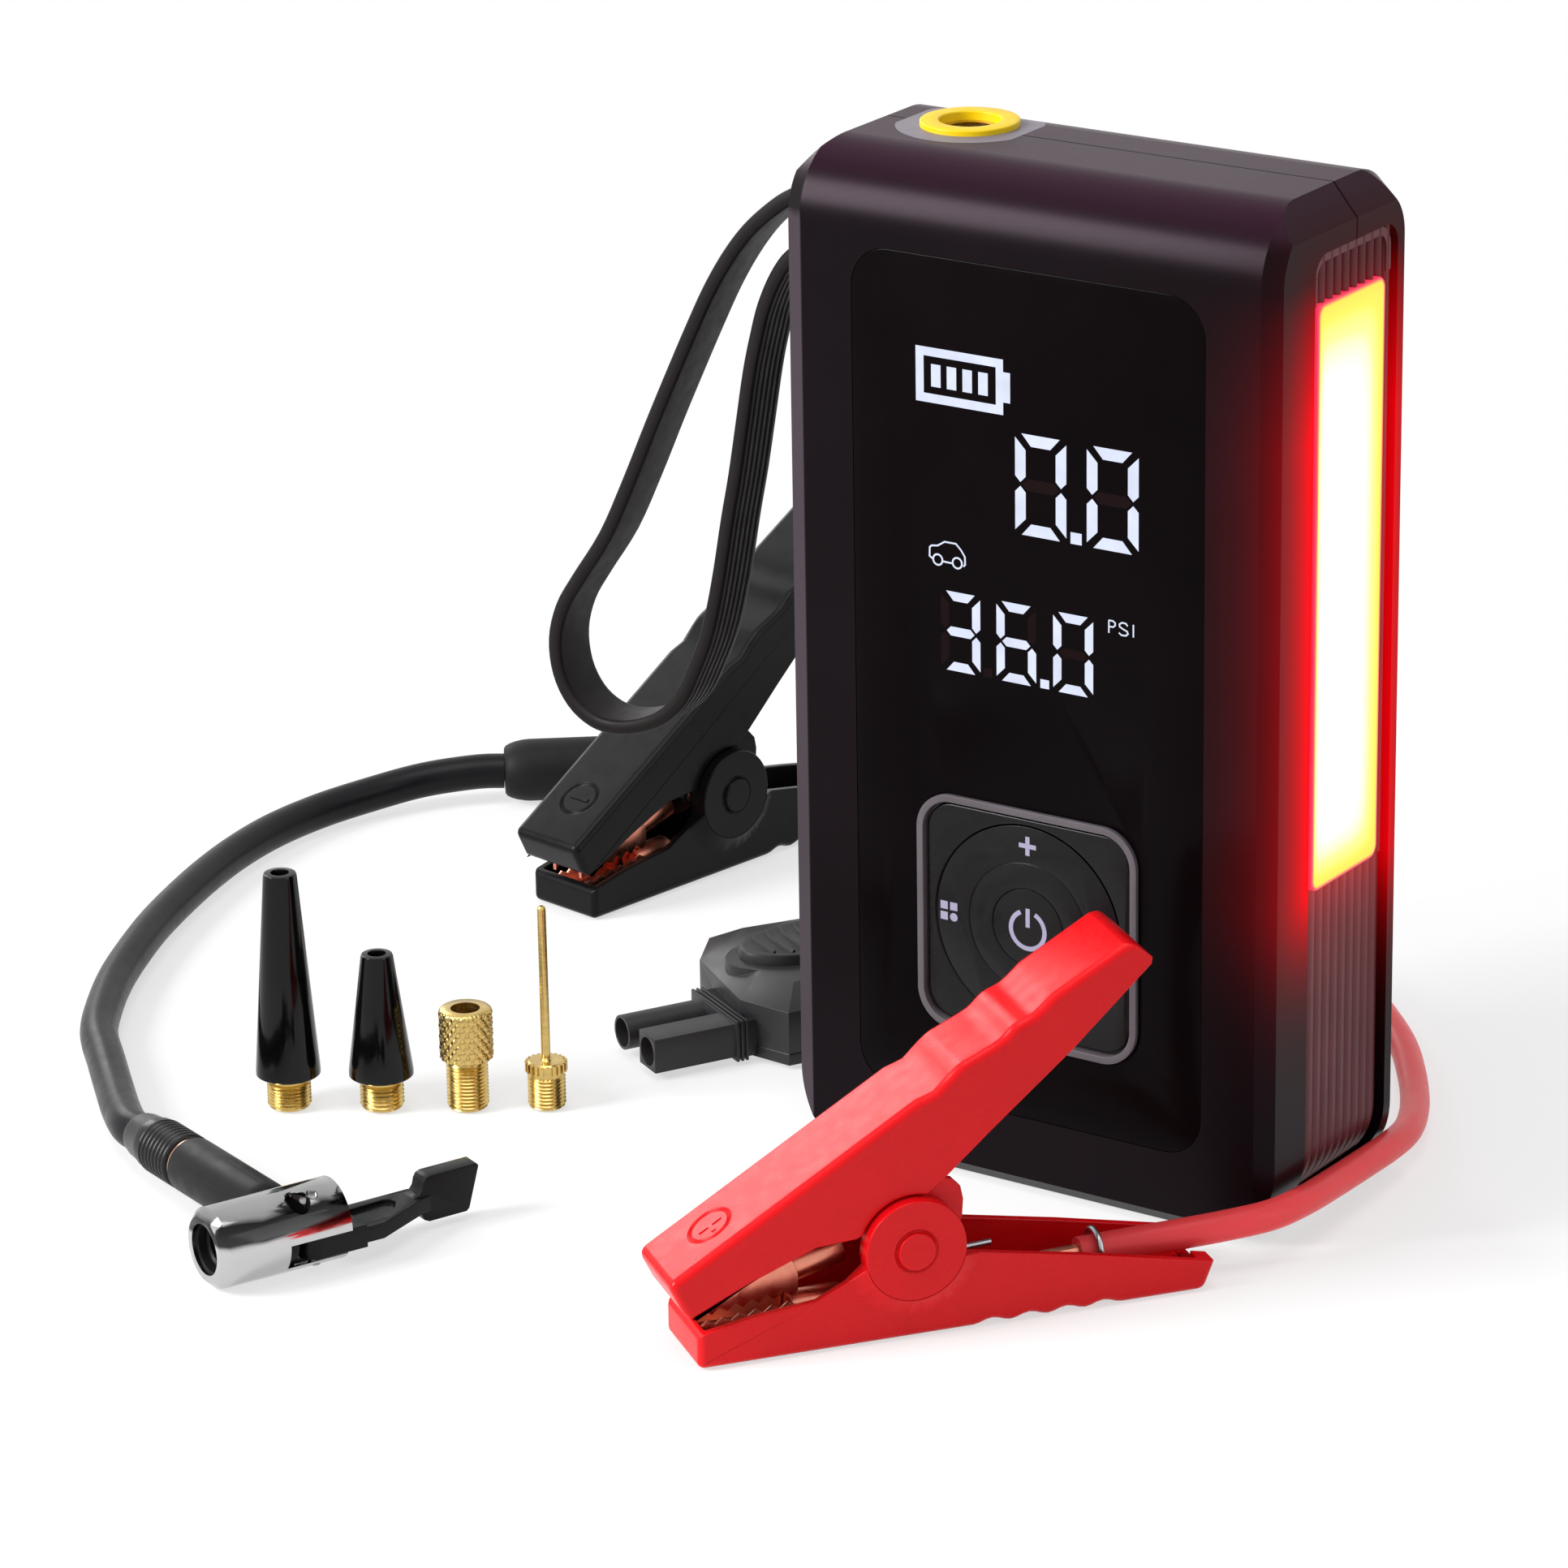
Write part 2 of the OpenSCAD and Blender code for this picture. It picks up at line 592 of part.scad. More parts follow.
module port_cover() color(rubber_black) union() {
    translate([-x_side, 0, 0]) along_x(cover_t)
        rounded(cover_y0 + cover_gap, cover_low + cover_gap, cover_y1 - cover_gap,
            cover_high - cover_gap - 2 * hinge_r - 0.2, [1.7, 1.7, 0.5, 0.5]);
    // Living hinge: a bead along the top and the web that joins it to the cover
    translate([-x_side + hinge_r, cover_y0 + cover_gap + 0.5, cover_high - cover_gap - hinge_r])
        rotate([-90, 0, 0]) cylinder(r = hinge_r, h = cover_y1 - cover_y0 - 2 * cover_gap - 1);
    translate([-x_side + hinge_r - 0.4, cover_y0 + 1.5, cover_high - cover_gap - 3])
        cube([0.8, cover_y1 - cover_y0 - 3, 3 - hinge_r]);
}

// The strap's ends run side by side through the anchor and meet a stop inside the case
strap_y = parting_y;
strap_path = [[-43.5, 170.5], [-52, 170.5], [-58, 169.6], [-63, 167.4], [-68, 163.6], [-72, 159.7],
    [-76, 154.5], [-80, 148], [-84, 140.2], [-88, 132], [-93, 121.5], [-98.5, 109.5], [-104, 98.5],
    [-110.5, 89], [-114.2, 83], [-116, 76.5], [-115.3, 70], [-112.4, 65], [-108, 62.2], [-103, 61.7],
    [-97.5, 63], [-92.5, 65.5], [-88, 70], [-84.8, 76.2], [-82.3, 82], [-80.5, 88], [-78.7, 96],
    [-76.8, 106], [-75, 114.5], [-73.2, 124.5], [-71.4, 134.5], [-69.7, 141.5], [-68, 147.2],
    [-65.3, 152.9], [-62, 157.2], [-57.5, 159.6], [-52, 160.2], [-43.5, 160.2]];
module carry_strap() color(rubber_black) union() {
    difference() {
        translate([0, strap_y, 0]) along_y(strap_w) polygon(band(strap_path, strap_t));
        // Lengthwise grooves on the outer face
        for (i = [-1.5:1:1.5]) translate([0, strap_y + 2 * i, 0]) along_y(0.7)
            polygon(band(strap_path, strap_t + 2));
    }
    translate([0, strap_y, 0]) along_y(strap_w) polygon(band(strap_path, strap_t - 0.9));
    translate([-43.6, strap_y - 7, 157]) cube([3, 14, 16.8]);
}
module strap_anchor() color(trim_grey) difference() {
    union() {
        translate([-x_side, 0, 0]) along_x(wall)
            rounded(anchor_y0, anchor_low, anchor_y1, anchor_high, [3, 3, 3, 3]);
        translate([-x_side + wall, 0, 0]) along_x(1.5)
            rounded(anchor_y0 - 1.5, anchor_low - 1.5, anchor_y1 + 1.5, anchor_high + 1.5, [3, 3, 3, 3]);
    }
    for (z = [160.2, 170.5]) translate([-x_side - 1, strap_y - strap_w / 2 - slack, z - strap_t / 2 - slack])
        cube([8, strap_w + 2 * slack, strap_t + 2 * slack]);
}

// ---- Clamps ----
// Each clamp lies along its own x, from the jaw's tip to the end of the handles
pivot = [38, 16.5];
boss_r = 9;
half_w = clamp_w / 2;
cap_r = 3.3;
module at_red() translate([-14, -110, 0]) rotate(53) children();
module at_black() translate([-151.3, 47, 0]) rotate(79.6) children();
module side_view(w) along_y(w) children();
module disc(r, w) translate([pivot[0], 0, pivot[1]]) rotate([90, 0, 0]) cylinder(r = r, h = w, center = true);

finger_low = waves(49, 76, 0, 0.8, 4, 24);
lower_top = [[0, 6.3], [10, 8.2], [20.9, 9.2], [26.3, 11.8], [29.3, 14.4], [38, 17], [46.5, 14.3],
    [70.3, 9.8], [93, 5]];
module lower_side() polygon(concat(arc([1.2, 1.2], 1.2, 180, 270, 4), finger_low,
    [[91, 0]], [for (i = [len(lower_top) - 1:-1:0]) lower_top[i]]));
module lower_arm() difference() {
    union() {
        difference() {
            side_view(clamp_w) lower_side();
            disc(boss_r + 0.2, clamp_w - 2 * clamp_wall);
        }
        difference() {
            disc(boss_r, clamp_w + 4);
            disc(boss_r + 1, clamp_w - 2 * clamp_wall);
        }
        // Small raised cap over each pin end
        disc(cap_r, clamp_w + 5);
        // Skirt that slopes from the disc down to the wall
        intersection() {
            for (s = [0, 1]) mirror([0, s, 0]) translate([pivot[0], 0.5 - half_w, pivot[1]])
                rotate([90, 0, 0]) cylinder(r1 = 13.6, r2 = boss_r, h = 2.2);
            side_view(clamp_w + 4) lower_side();
        }
    }
    // Fine groove round the cap
    difference() {
        disc(cap_r + 0.5, clamp_w + 6);
        disc(cap_r, clamp_w + 7);
        disc(cap_r + 1, clamp_w + 3.2);
    }
    // Channel, open at the top, with a low notch in the end wall
    side_view(clamp_w - 2 * clamp_wall) polygon([[clamp_wall, 2.4], [clamp_wall, 40], [90, 40], [90, 2.4]]);
    translate([88, -3.9, 2.8]) cube([8, 7.8, 20]);
    disc(2.5 + slack, clamp_w + 3);
}

upper_top = concat([[-5, 16], [38.9, 42.5]],
    smooth([[42.3, 43.7], [46.4, 47.5], [49.1, 48.9], [53.9, 51.2], [56.6, 53.6], [60, 55.1], [63.5, 58.1]], 3),
    [[76, 65.2], [77.8, 65.6]]);
upper_low = [[81.2, 62.4], [81, 61.2], [66.9, 47.9], [52.4, 35.6], [44, 28.2], [38, 23.5], [28.1, 19.4],
    [21, 19], [10.8, 15], [-0.7, 9.6], [-2, 9.8]];
handle_roof = concat([[12, 24], [38.9, 40.6]], [[44, 43], [50, 47.2], [56, 51], [63.5, 56], [75.5, 63.2]],
    [[79.2, 60.6], [66.9, 44], [52.4, 30], [38, 10], [22, 10], [22, 20]]);
ear_w = clamp_w - 2 * clamp_wall - 0.4;
module upper_side() polygon(concat(upper_top, upper_low));
module upper_arm() difference() {
    union() {
        // Full-width cover, cleared around the lower arm's pivot discs
        difference() {
            side_view(clamp_w) upper_side();
            disc(boss_r + 0.4, clamp_w + 6);
        }
        // Ears that reach down to the pin between the lower arm's walls
        difference() {
            side_view(ear_w) polygon([[31, 14], [31, 30], [36, 40], [43.5, 42], [43.5, 27.6], [45.8, 27],
                [47.3, 25.4], [47.8, 23], [47.6, 20], [46.6, 16.6], [45, 14]]);
            side_view(clamp_w) polygon([[20, 0], [20, 17], [32, 10], [44, 10], [60, 17], [60, 0]]);
        }
        disc(8, ear_w);
    }
    // Hollow underside
    side_view(ear_w - 2 * clamp_wall) polygon(handle_roof);
    disc(boss_r + 1, ear_w - 2 * clamp_wall);
    // Pocket for the copper jaw
    side_view(9) polygon([[0.4, 5], [0.4, 12.6], [19.6, 19.6], [30, 22], [30, 5]]);
    disc(2.5 + slack, clamp_w + 8);
    // Ring mark near the tip
    translate([5.1, 0, 22.1]) rotate([0, -31.1, 0]) difference() {
        translate([0, 0, -0.35]) cylinder(r = 4.1, h = 3);
        translate([0, 0, -1]) cylinder(r = 3.6, h = 5);
    }
}
module red_lower_arm() color(clamp_red) at_red() lower_arm();
module red_upper_arm() color(clamp_red) at_red() upper_arm();
module black_lower_arm() color(clamp_black) at_black() lower_arm();
module black_upper_arm() color(clamp_black) at_black() upper_arm();

// Toothed copper strips: a web with a flange down each side
jaw_w = 8;
strip_t = 0.8;
function saw(x0, z0, x1, z1, count, depth) = [for (i = [0:2 * count])
    [x0 + (x1 - x0) * i / (2 * count), z0 + (z1 - z0) * i / (2 * count) + (i % 2) * depth]];
module upper_jaw() union() {
    for (s = [-1, 1]) translate([0, s * (jaw_w - strip_t) / 2, 0]) side_view(strip_t)
        polygon(concat(saw(1.2, 7.3, 17.8, 9, 6, 1.1), [[19.2, 9.6], [19.2, 12.6], [17, 18.2], [1.2, 12.4]]));
    side_view(jaw_w) polygon([[1.2, 11.6], [17, 17.4], [17, 18.2], [1.2, 12.4]]);
    translate([19, 0, 12.8]) rotate([0, 76, 0]) difference() {
        cylinder(r = 3, h = 9.2);
        translate([0, 0, -1]) cylinder(r = 2.2, h = 12);
    }
    side_view(3) polygon([[14, 16.3], [19.4, 15.2], [19.4, 16], [14, 17.1]]);
    // Rivet through the flanges
    translate([7.2, 0, 11]) rotate([90, 0, 0]) cylinder(r = 1.3, h = jaw_w + 0.8, center = true);
}
module lower_jaw() union() {
    for (s = [-1, 1]) translate([0, s * (jaw_w - strip_t) / 2, 0]) side_view(strip_t)
        polygon(concat([[19, 2.4], [1.8, 2.4]], saw(1.8, 5.4, 19, 6.9, 6, 0.9)));
    side_view(jaw_w) polygon([[1.8, 2.4], [19, 2.4], [19, 3.2], [1.8, 3.2]]);
    translate([18.8, 0, 5.2]) rotate([0, 90, 0]) difference() {
        cylinder(r = 2.8, h = 9);
        translate([0, 0, -1]) cylinder(r = core_r + slack, h = 12);
    }
}
module lower_jaws() color(copper_red) {
    at_red() lower_jaw();
    at_black() lower_jaw();
}
module red_upper_jaw() color(copper_red) at_red() upper_jaw();
module black_upper_jaw() color(copper_red) at_black() upper_jaw();

pin_r = 2.5;
module clamp_pin() translate([pivot[0], 0, pivot[1]]) rotate([90, 0, 0])
    cylinder(r = pin_r, h = clamp_w + 2.8, center = true);
module pivot_pins() color(steel_grey) {
    at_red() clamp_pin();
    at_black() clamp_pin();
    at_chuck() translate([lever_pin[0], lever_pin[1], -6.4]) cylinder(r = 1, h = 12.8);
}

// Torsion spring: four turns round the pin and a leg along each handle
spring_r = 4.2;
spring_wire_r = 0.6;
spring_turns = 3.4;
spring_pitch = 1.8;
function spring_turn(a) = [pivot[0] + spring_r * cos(a), (a - 180 * spring_turns) / 360 * spring_pitch,
    pivot[1] + spring_r * sin(a)];
spring_path = concat([[54, -3.1, 12.6]], [for (a = [-72:24:-72 + 360 * spring_turns + 24]) spring_turn(a)]);
module spring() {
    tube_any(spring_path, spring_wire_r, 6);
}
// A wire that may run in any direction: its rings keep the pin's axis as their reference
module tube_any(p, r, sides) {
    m = len(p) - 1;
    points = [for (i = [0:m], k = [0:sides - 1])
        let (d = direction(p, i), s = unit(cross([0, 1, 0], d)), u = cross(d, s), a = 360 * k / sides)
        p[i] + r * (cos(a) * s + sin(a) * u)];
    walls = [for (i = [0:m - 1], k = [0:sides - 1])
        let (a = i * sides + k, b = i * sides + (k + 1) % sides, c = b + sides, d = a + sides)
        each [[a, d, c], [a, c, b]]];
    ends = [[for (k = [0:sides - 1]) k], [for (k = [sides - 1:-1:0]) m * sides + k]];
    polyhedron(points, concat(walls, ends));
}
module red_spring() color(steel_grey) at_red() spring();
module black_spring() color(steel_grey) at_black() spring();

// Bare strands from the crimped jaw along the channel, into the cable's jacket
core_r = 1.5;
jacket_start = 71;
jacket_z = 6.6;
module core() tube([[19.5, 0, 5.2], [29, 0, 5.2], [jacket_start - 0.1, 0, jacket_z]], core_r, 16);
module cable_cores() color(copper_red) {
    at_red() core();
    at_black() core();
}
// Hog ring crimped round the jacket's end
ring_wire_r = 0.55;
module clip() translate([jacket_start + 3, 0, jacket_z + 0.15]) rotate([0, 90, 0])
    rotate_extrude() translate([cable_d / 2 + ring_wire_r + 0.35, 0]) circle(ring_wire_r, $fn = 24);
module cable_clips() color(steel_grey) {
    at_red() clip();
    at_black() clip();
}

// ---- Jump cables ----
cable_z = 2.8;
hole_z = 5.7;
red_route = [[28.73, -53.3, jacket_z], [34, -46.3, 6.8], [39.8, -39.4, 7.2], [45.8, -32.6, 7.8],
    [50.6, -25.4, 8.2], [52, -16.4, 7.9], [51.7, -5, 7.1], [51.2, 7, 6.4], [50.4, 17, 5.6], [48.4, 27, 4.5],
    [44.4, 37, 3.4], [39.4, 46.5, cable_z], [33.4, 56, cable_z], [27, 65, cable_z], [19, 74, cable_z],
    [10.5, 82, cable_z], [0, 88, cable_z], [-11, 90, cable_z], [-22.5, 88.5, cable_z], [-33, 83.5, cable_z],
    [-42, 76, cable_z], [-49.5, 66.3, 3.8], [-56.3, 53.4, hole_z], [-59.7, 47.3, hole_z],
    [-62.1, 42.9, hole_z]];
black_route = [[-138.48, 116.83, jacket_z], [-136.9, 125.5, 6.8], [-135.3, 134.5, 6.6], [-133.2, 144, 4.9],
    [-129, 154, 3.2], [-121, 163.5, cable_z], [-110, 168.5, cable_z], [-98, 167, cable_z], [-88, 160, cable_z],
    [-81, 150, cable_z], [-75, 139, cable_z], [-69.5, 127.5, cable_z], [-64.5, 115.5, cable_z],
    [-60.4, 103.5, cable_z], [-57.8, 91.5, cable_z], [-57.5, 79.5, 3.2], [-60, 68.3, 4.4],
    [-65, 58.2, hole_z], [-68.4, 52.1, hole_z], [-70.8, 47.7, hole_z]];
module red_cable() color(clamp_red) tube(red_route, cable_d / 2, 10);
module black_cable() color(rubber_black) tube(black_route, cable_d / 2, 10);

// ---- Plug block ----
// Lies along its own x, from the tips of its barrels to the cable end
module at_plug() translate([-97, -9.8, 0]) rotate(61) children();
block_half = 20;
block_len = 66;
seam_z = 3;
side_z = 11.2;
block_top = 14.5;
grip_mid = [42, 0.5];
function block_outline(inset) = [[19.8 + inset, -9.7 + inset / 2], [22.2 + inset, 12.1 - inset / 2],
    [28.9 + inset * 0.7, block_half + 1.5 - inset], [54 - inset / 2, block_half - inset],
    [block_len - inset, 12 - inset], [block_len - inset, -12 + inset],
    [54 - inset / 2, -block_half + inset], [24.6 + inset * 0.7, -block_half + inset]];
function oval(a, b) = [for (t = [0:9:351]) grip_mid + [a * cos(t), b * sin(t)]];
module plug_top_shell() color(rubber_black) at_plug() difference() {
    union() {
        translate([0, 0, seam_z]) linear_extrude(side_z - seam_z) polygon(block_outline(0));
        hull() {
            translate([0, 0, side_z - 0.1]) linear_extrude(0.1) polygon(block_outline(0));
            translate([0, 0, block_top - 0.1]) linear_extrude(0.1) polygon(block_outline(6));
        }
        // Step under the grip
        translate([0, 0, side_z]) linear_extrude(block_top - side_z) polygon(oval(19.5, 10.5));
    }
    translate([0, 0, 2]) linear_extrude(side_z - 2) polygon(block_outline(1.8));
    plug_cuts();
}
module plug_bottom_shell() color(rubber_black) at_plug() difference() {
    union() {
        translate([0, 0, 0.6]) linear_extrude(seam_z - 0.6) polygon(block_outline(0));
        // Low foot, set back from the edges
        linear_extrude(0.7) polygon(block_outline(1.4));
    }
    translate([0, 0, 1.8]) linear_extrude(4) polygon(block_outline(1.8));
    plug_cuts();
}
// Mouth for the barrels' collar at the front and two cable holes at the rear
collar_mid = -4;
barrel_z = 4.6;
collar_half = 9;
module plug_cuts() {
    translate([17, collar_mid - collar_half, 1.1]) cube([9, 2 * collar_half, 7]);
    for (y = [-5, 5]) translate([block_len - 8, y, hole_z]) rotate([0, 90, 0])
        cylinder(r = cable_d / 2 + slack, h = 10);
}
// Raised oval pad with curved ridges on the top shell
grip_half = [16.8, 8.6];
grip_h = 2.2;
module plug_grip() color([0.2, 0.2, 0.21]) at_plug() union() {
    translate([0, 0, block_top]) linear_extrude(grip_h) polygon(oval(grip_half[0], grip_half[1]));
    for (i = [-4:4]) translate([grip_mid[0] + 3 * i, grip_mid[1], block_top + grip_h]) linear_extrude(0.4)
        square([0.5, 2 * grip_half[1] * sqrt(1 - pow(3 * i / grip_half[0], 2)) - 2.4], center = true);
}
barrel_half = 3.3;
barrel_len = 17;
barrel_bore = 2.75;
module plug_barrels() color(rubber_black) at_plug() difference() {
    union() {
        translate([0.6, collar_mid - barrel_pitch / 2 - barrel_half, barrel_z - barrel_half])
            cube([22, 2 * barrel_half, 2 * barrel_half]);
        translate([0.6, collar_mid + barrel_pitch / 2, barrel_z]) rotate([0, 90, 0])
            cylinder(r = barrel_half, h = 22);
        // Collar with three ribs
        translate([barrel_len, collar_mid - collar_half, 1.1]) cube([9, 2 * collar_half, 7]);
        for (i = [0:2]) translate([barrel_len + 0.1 + 0.95 * i, collar_mid - collar_half - 0.5, 0.6])
            cube([0.5, 2 * collar_half + 1, 8]);
    }
    for (s = [-1, 1]) translate([-1, collar_mid + s * barrel_pitch / 2, barrel_z]) rotate([0, 90, 0])
        cylinder(r = barrel_bore, h = 20);
}
module plug_contacts() color(brass_gold) at_plug() for (s = [-1, 1])
    translate([3, collar_mid + s * barrel_pitch / 2, barrel_z]) rotate([0, 90, 0]) difference() {
        cylinder(r = barrel_bore - slack, h = 15.9);
        translate([0, 0, -1]) cylinder(r = 1.9, h = 12);
    }

// ---- Air hose ----
// The hose's last points lead straight into its two cuffs
hose_z = 3.7;
hose_route = [[-142.58, -94.53, 5.1], [-147.15, -92.53, 4.9], [-154.2, -86.4, 4.2], [-163, -77.8, hose_z],
    [-172.5, -68.5, hose_z],
    [-182.5, -58.5, hose_z], [-190.5, -47, hose_z], [-197.5, -35, hose_z], [-203.5, -22.5, hose_z],
    [-209, -9.5, hose_z], [-213.5, 3.5, hose_z], [-217.5, 17, hose_z], [-220.5, 30.5, hose_z],
    [-222, 44.5, hose_z], [-221, 58.5, 3.8], [-217, 71, 4.4], [-211, 80.8, 5.6], [-203.2, 88.33, 6.5],
    [-198.52, 91.98, 6.5]];
module air_hose() color(rubber_black) tube(hose_route, hose_d / 2, 12);

module at_far_end() translate([-198.5, 92, 6.5]) rotate([0, 90, 38]) children();
module hose_cuff() color(rubber_black) at_far_end() difference() {
    union() {
        cylinder(r1 = 5.2, r2 = 6.4, h = 4);
        translate([0, 0, 4]) cylinder(r = 6.4, h = 16);
    }
    translate([0, 0, 18]) cylinder(r = 3, h = 4);
}
fitting_r = 3.9;
module hose_fitting() color(brass_gold) at_far_end() difference() {
    union() {
        translate([0, 0, 20]) cylinder(r = 5.4, h = 6);
        translate([0, 0, 26]) cylinder(r = fitting_r, h = 9);
        translate([0, 0, 18]) cylinder(r = 3, h = 3);
    }
    translate([0, 0, 16]) cylinder(r = 1.5, h = 30);
}

// ---- Lever chuck ----
// The sleeve lies along its own x from its open face; y points to its left
at_chuck_pos = [-97.9, -132.6, 7.3];
module at_chuck() translate(at_chuck_pos) rotate(66.4) children();
sleeve_r = 7.3;
sleeve_t = 0.8;
sleeve_len = 25;
lever_pin = [19.6, -3];
valve_r = 3.9;
// Barrel's centre line in the sleeve's own axes, from inside the sleeve to the hose
barrel_in = [17, 1.2, 0];
barrel_out = [17, 56.2, -2.2];
function barrel_at(t) = barrel_in + t * unit(barrel_out - barrel_in);
module side_rod(t0, t1, r) rod(barrel_at(t0), barrel_at(t1), r);
neck_r = 4.3;
neck_len = 9.2;

module chuck_sleeve() color(chrome_silver) at_chuck() difference() {
    rotate([0, 90, 0]) union() {
        cylinder(r1 = sleeve_r - 1.4, r2 = sleeve_r, h = 1.4);
        translate([0, 0, 1.4]) cylinder(r = sleeve_r, h = sleeve_len - 1.4);
    }
    translate([1, 0, 0]) rotate([0, 90, 0]) cylinder(r = sleeve_r - sleeve_t, h = 30);
    translate([-1, 0, 0]) rotate([0, 90, 0]) cylinder(r = 4.6, h = 5);
    side_rod(-0.1, 20, neck_r + 0.15);
    // Lever's slot in the near wall, open at the rear
    translate([13, -9, -4.9]) cube([20, 9, 4.9]);
    translate([lever_pin[0], lever_pin[1], -10]) cylinder(r = 1 + slack, h = 20);
    // Window in the top wall in front of the pin
    translate([16.5, -3.4, 0]) cylinder(r = 2.3, h = 10);
}
module chuck_seal() color(rubber_black) at_chuck() translate([1, 0, 0]) rotate([0, 90, 0]) difference() {
    cylinder(r = sleeve_r - sleeve_t, h = 1.4);
    translate([0, 0, -1]) cylinder(r = 4.2, h = 4);
}
module chuck_barrel() color(rubber_black) at_chuck() difference() {
    union() {
        translate([2.4, 0, 0]) rotate([0, 90, 0]) cylinder(r = sleeve_r - sleeve_t, h = 12.6);
        // Narrow neck inside the sleeve, then the round-ended barrel and the hose's spigot
        side_rod(0.5, neck_len, neck_r);
        translate(barrel_at(neck_len)) sphere(5.15);
        side_rod(neck_len, 35.5, 5.15);
        side_rod(35, 40, 3.6);
    }
    translate([1, 0, 0]) rotate([0, 90, 0]) cylinder(r = valve_r, h = 12);
}
module chuck_ring() color([0.80, 0.55, 0.45]) at_chuck() difference() {
    side_rod(35.5, 36.7, 4.7);
    side_rod(35, 41, 3.6 + slack);
}
module chuck_cuff() color(rubber_black) at_chuck() difference() {
    union() {
        side_rod(36.7, 49, 4.95);
        side_rod(49, 55, 4.3);
        for (i = [0:5]) side_rod(37.6 + 1.9 * i, 38.5 + 1.9 * i, 5.2);
    }
    side_rod(35, 41, 3.6 + slack);
}
arm_low = -3.8;
arm_top = -0.9;
module chuck_lever() color(gloss_black) at_chuck() difference() {
    union() {
        // Hub round the pin and the neck that leaves the sleeve
        translate([lever_pin[0], lever_pin[1], -4.5]) cylinder(r = 3, h = 4.2);
        translate([lever_pin[0], lever_pin[1] - 2.9, -4.5]) cube([9, 5.8, 4.2]);
        // Flat arm that narrows on its near side
        translate([0, 0, arm_low]) linear_extrude(arm_top - arm_low) polygon([[26.6, -5.7], [26.6, 4.4],
            [31, 4.8], [42.6, 5], [44.5, 4], [44.5, 0], [42.7, -0.4], [32, -5.7]]);
        // Upright paddle; its front edge rises from the arm in a hollow curve
        translate([0, 2, 0]) along_y(3.7) polygon([[41, arm_low], [41, arm_top], [42.2, -0.5], [42.9, 0.4],
            [43.2, 1.7], [43.7, 2.5], [44.6, 2.8], [54, 2.9], [54.4, 2.4], [52.3, -5.2], [51.7, -5.7],
            [44.2, -5.8], [43.2, -5.3], [42.6, arm_low]]);
    }
    translate([lever_pin[0], lever_pin[1], -9]) cylinder(r = 1 + slack, h = 20);
    // Shallow pocket in the arm's top
    translate([0, 0, arm_top - 0.8]) linear_extrude(2) polygon([[28.4, -4.3], [28.4, 2.7], [36.8, 3.2],
        [37.9, 2.6], [38.2, 1.2], [36, -2.4], [34.8, -3.6]]);
}

// ---- Nozzles, standing on their threads ----
module at_tall() translate([-136, -60.4, 0]) children();
module at_short() translate([-121.3, -51.7, 0]) children();
nozzle_hole_r = 1.4;
module threaded_base(h) difference() {
    union() {
        cylinder(r = 3.9, h = h);
        for (z = [0.6:0.8:h - 1]) translate([0, 0, z]) cylinder(r = 4.05, h = 0.4);
        translate([0, 0, h - 0.5]) cylinder(r = 4.4, h = 0.5);
    }
    translate([0, 0, -1]) cylinder(r = nozzle_hole_r, h = h + 2);
}
module cone_nozzle(z0, z1, top_r) difference() {
    translate([0, 0, z0]) cylinder(r1 = 6, r2 = top_r, h = z1 - z0);
    cylinder(r = nozzle_hole_r, h = z1 + 1);
}
module tall_nozzle() color(gloss_black) at_tall() cone_nozzle(6.3, 45.6, 3.05);
module short_nozzle() color(gloss_black) at_short() cone_nozzle(6.2, 30, 2.95);
module nozzle_bases() color(brass_gold) {
    at_tall() threaded_base(6.3);
    at_short() threaded_base(6.2);
}
module valve_adapter() color(brass_gold) translate([-107.9, -43.4, 0]) difference() {
    union() {
        cylinder(r = 3.7, h = 9.6);
        for (z = [0.6:0.8:8.6]) translate([0, 0, z]) cylinder(r = 3.85, h = 0.4);
        translate([0, 0, 9.6]) cylinder(r = 5, h = 9.7);
    }
    translate([0, 0, -1]) cylinder(r = nozzle_hole_r, h = 30);
    translate([0, 0, 12]) cylinder(r = 2.6, h = 10);
}
module ball_needle() color(brass_gold) translate([-95.8, -35.5, 0]) difference() {
    union() {
        cylinder(r = 3.35, h = 7);
        for (z = [0.6:0.8:6]) translate([0, 0, z]) cylinder(r = 3.5, h = 0.4);
        translate([0, 0, 7]) cylinder(r = 3.8, h = 2);
        translate([0, 0, 9]) cylinder(r = 0.8, h = 29.4);
        translate([0, 0, 38.4]) cylinder(r1 = 0.8, r2 = 0.4, h = 0.6);
    }
    translate([0, 0, 35]) rotate([90, 0, 34]) cylinder(r = 0.35, h = 4, center = true);
}

front_shell();
back_shell();
display_window();
display_board();
pad_bezel();
pad_plate();
power_button();
menu_ring();
rocker_carrier();
main_board();
battery_cells();
pump_motor();
motor_pinion();
crank_gear();
pump_piston();
pump_housing();
outlet_plate();
outlet_ring();
outlet_fitting();
lamp_lens();
lamp_board();
side_grille();
jump_socket();
port_cover();
case_screws();
strap_anchor();
carry_strap();
red_lower_arm();
red_upper_arm();
black_lower_arm();
black_upper_arm();
lower_jaws();
red_upper_jaw();
black_upper_jaw();
pivot_pins();
red_spring();
black_spring();
cable_cores();
cable_clips();
red_cable();
black_cable();
plug_top_shell();
plug_bottom_shell();
plug_grip();
plug_barrels();
plug_contacts();
air_hose();
hose_cuff();
hose_fitting();
chuck_cuff();
chuck_ring();
chuck_barrel();
chuck_sleeve();
chuck_seal();
chuck_lever();
tall_nozzle();
short_nozzle();
nozzle_bases();
valve_adapter();
ball_needle();
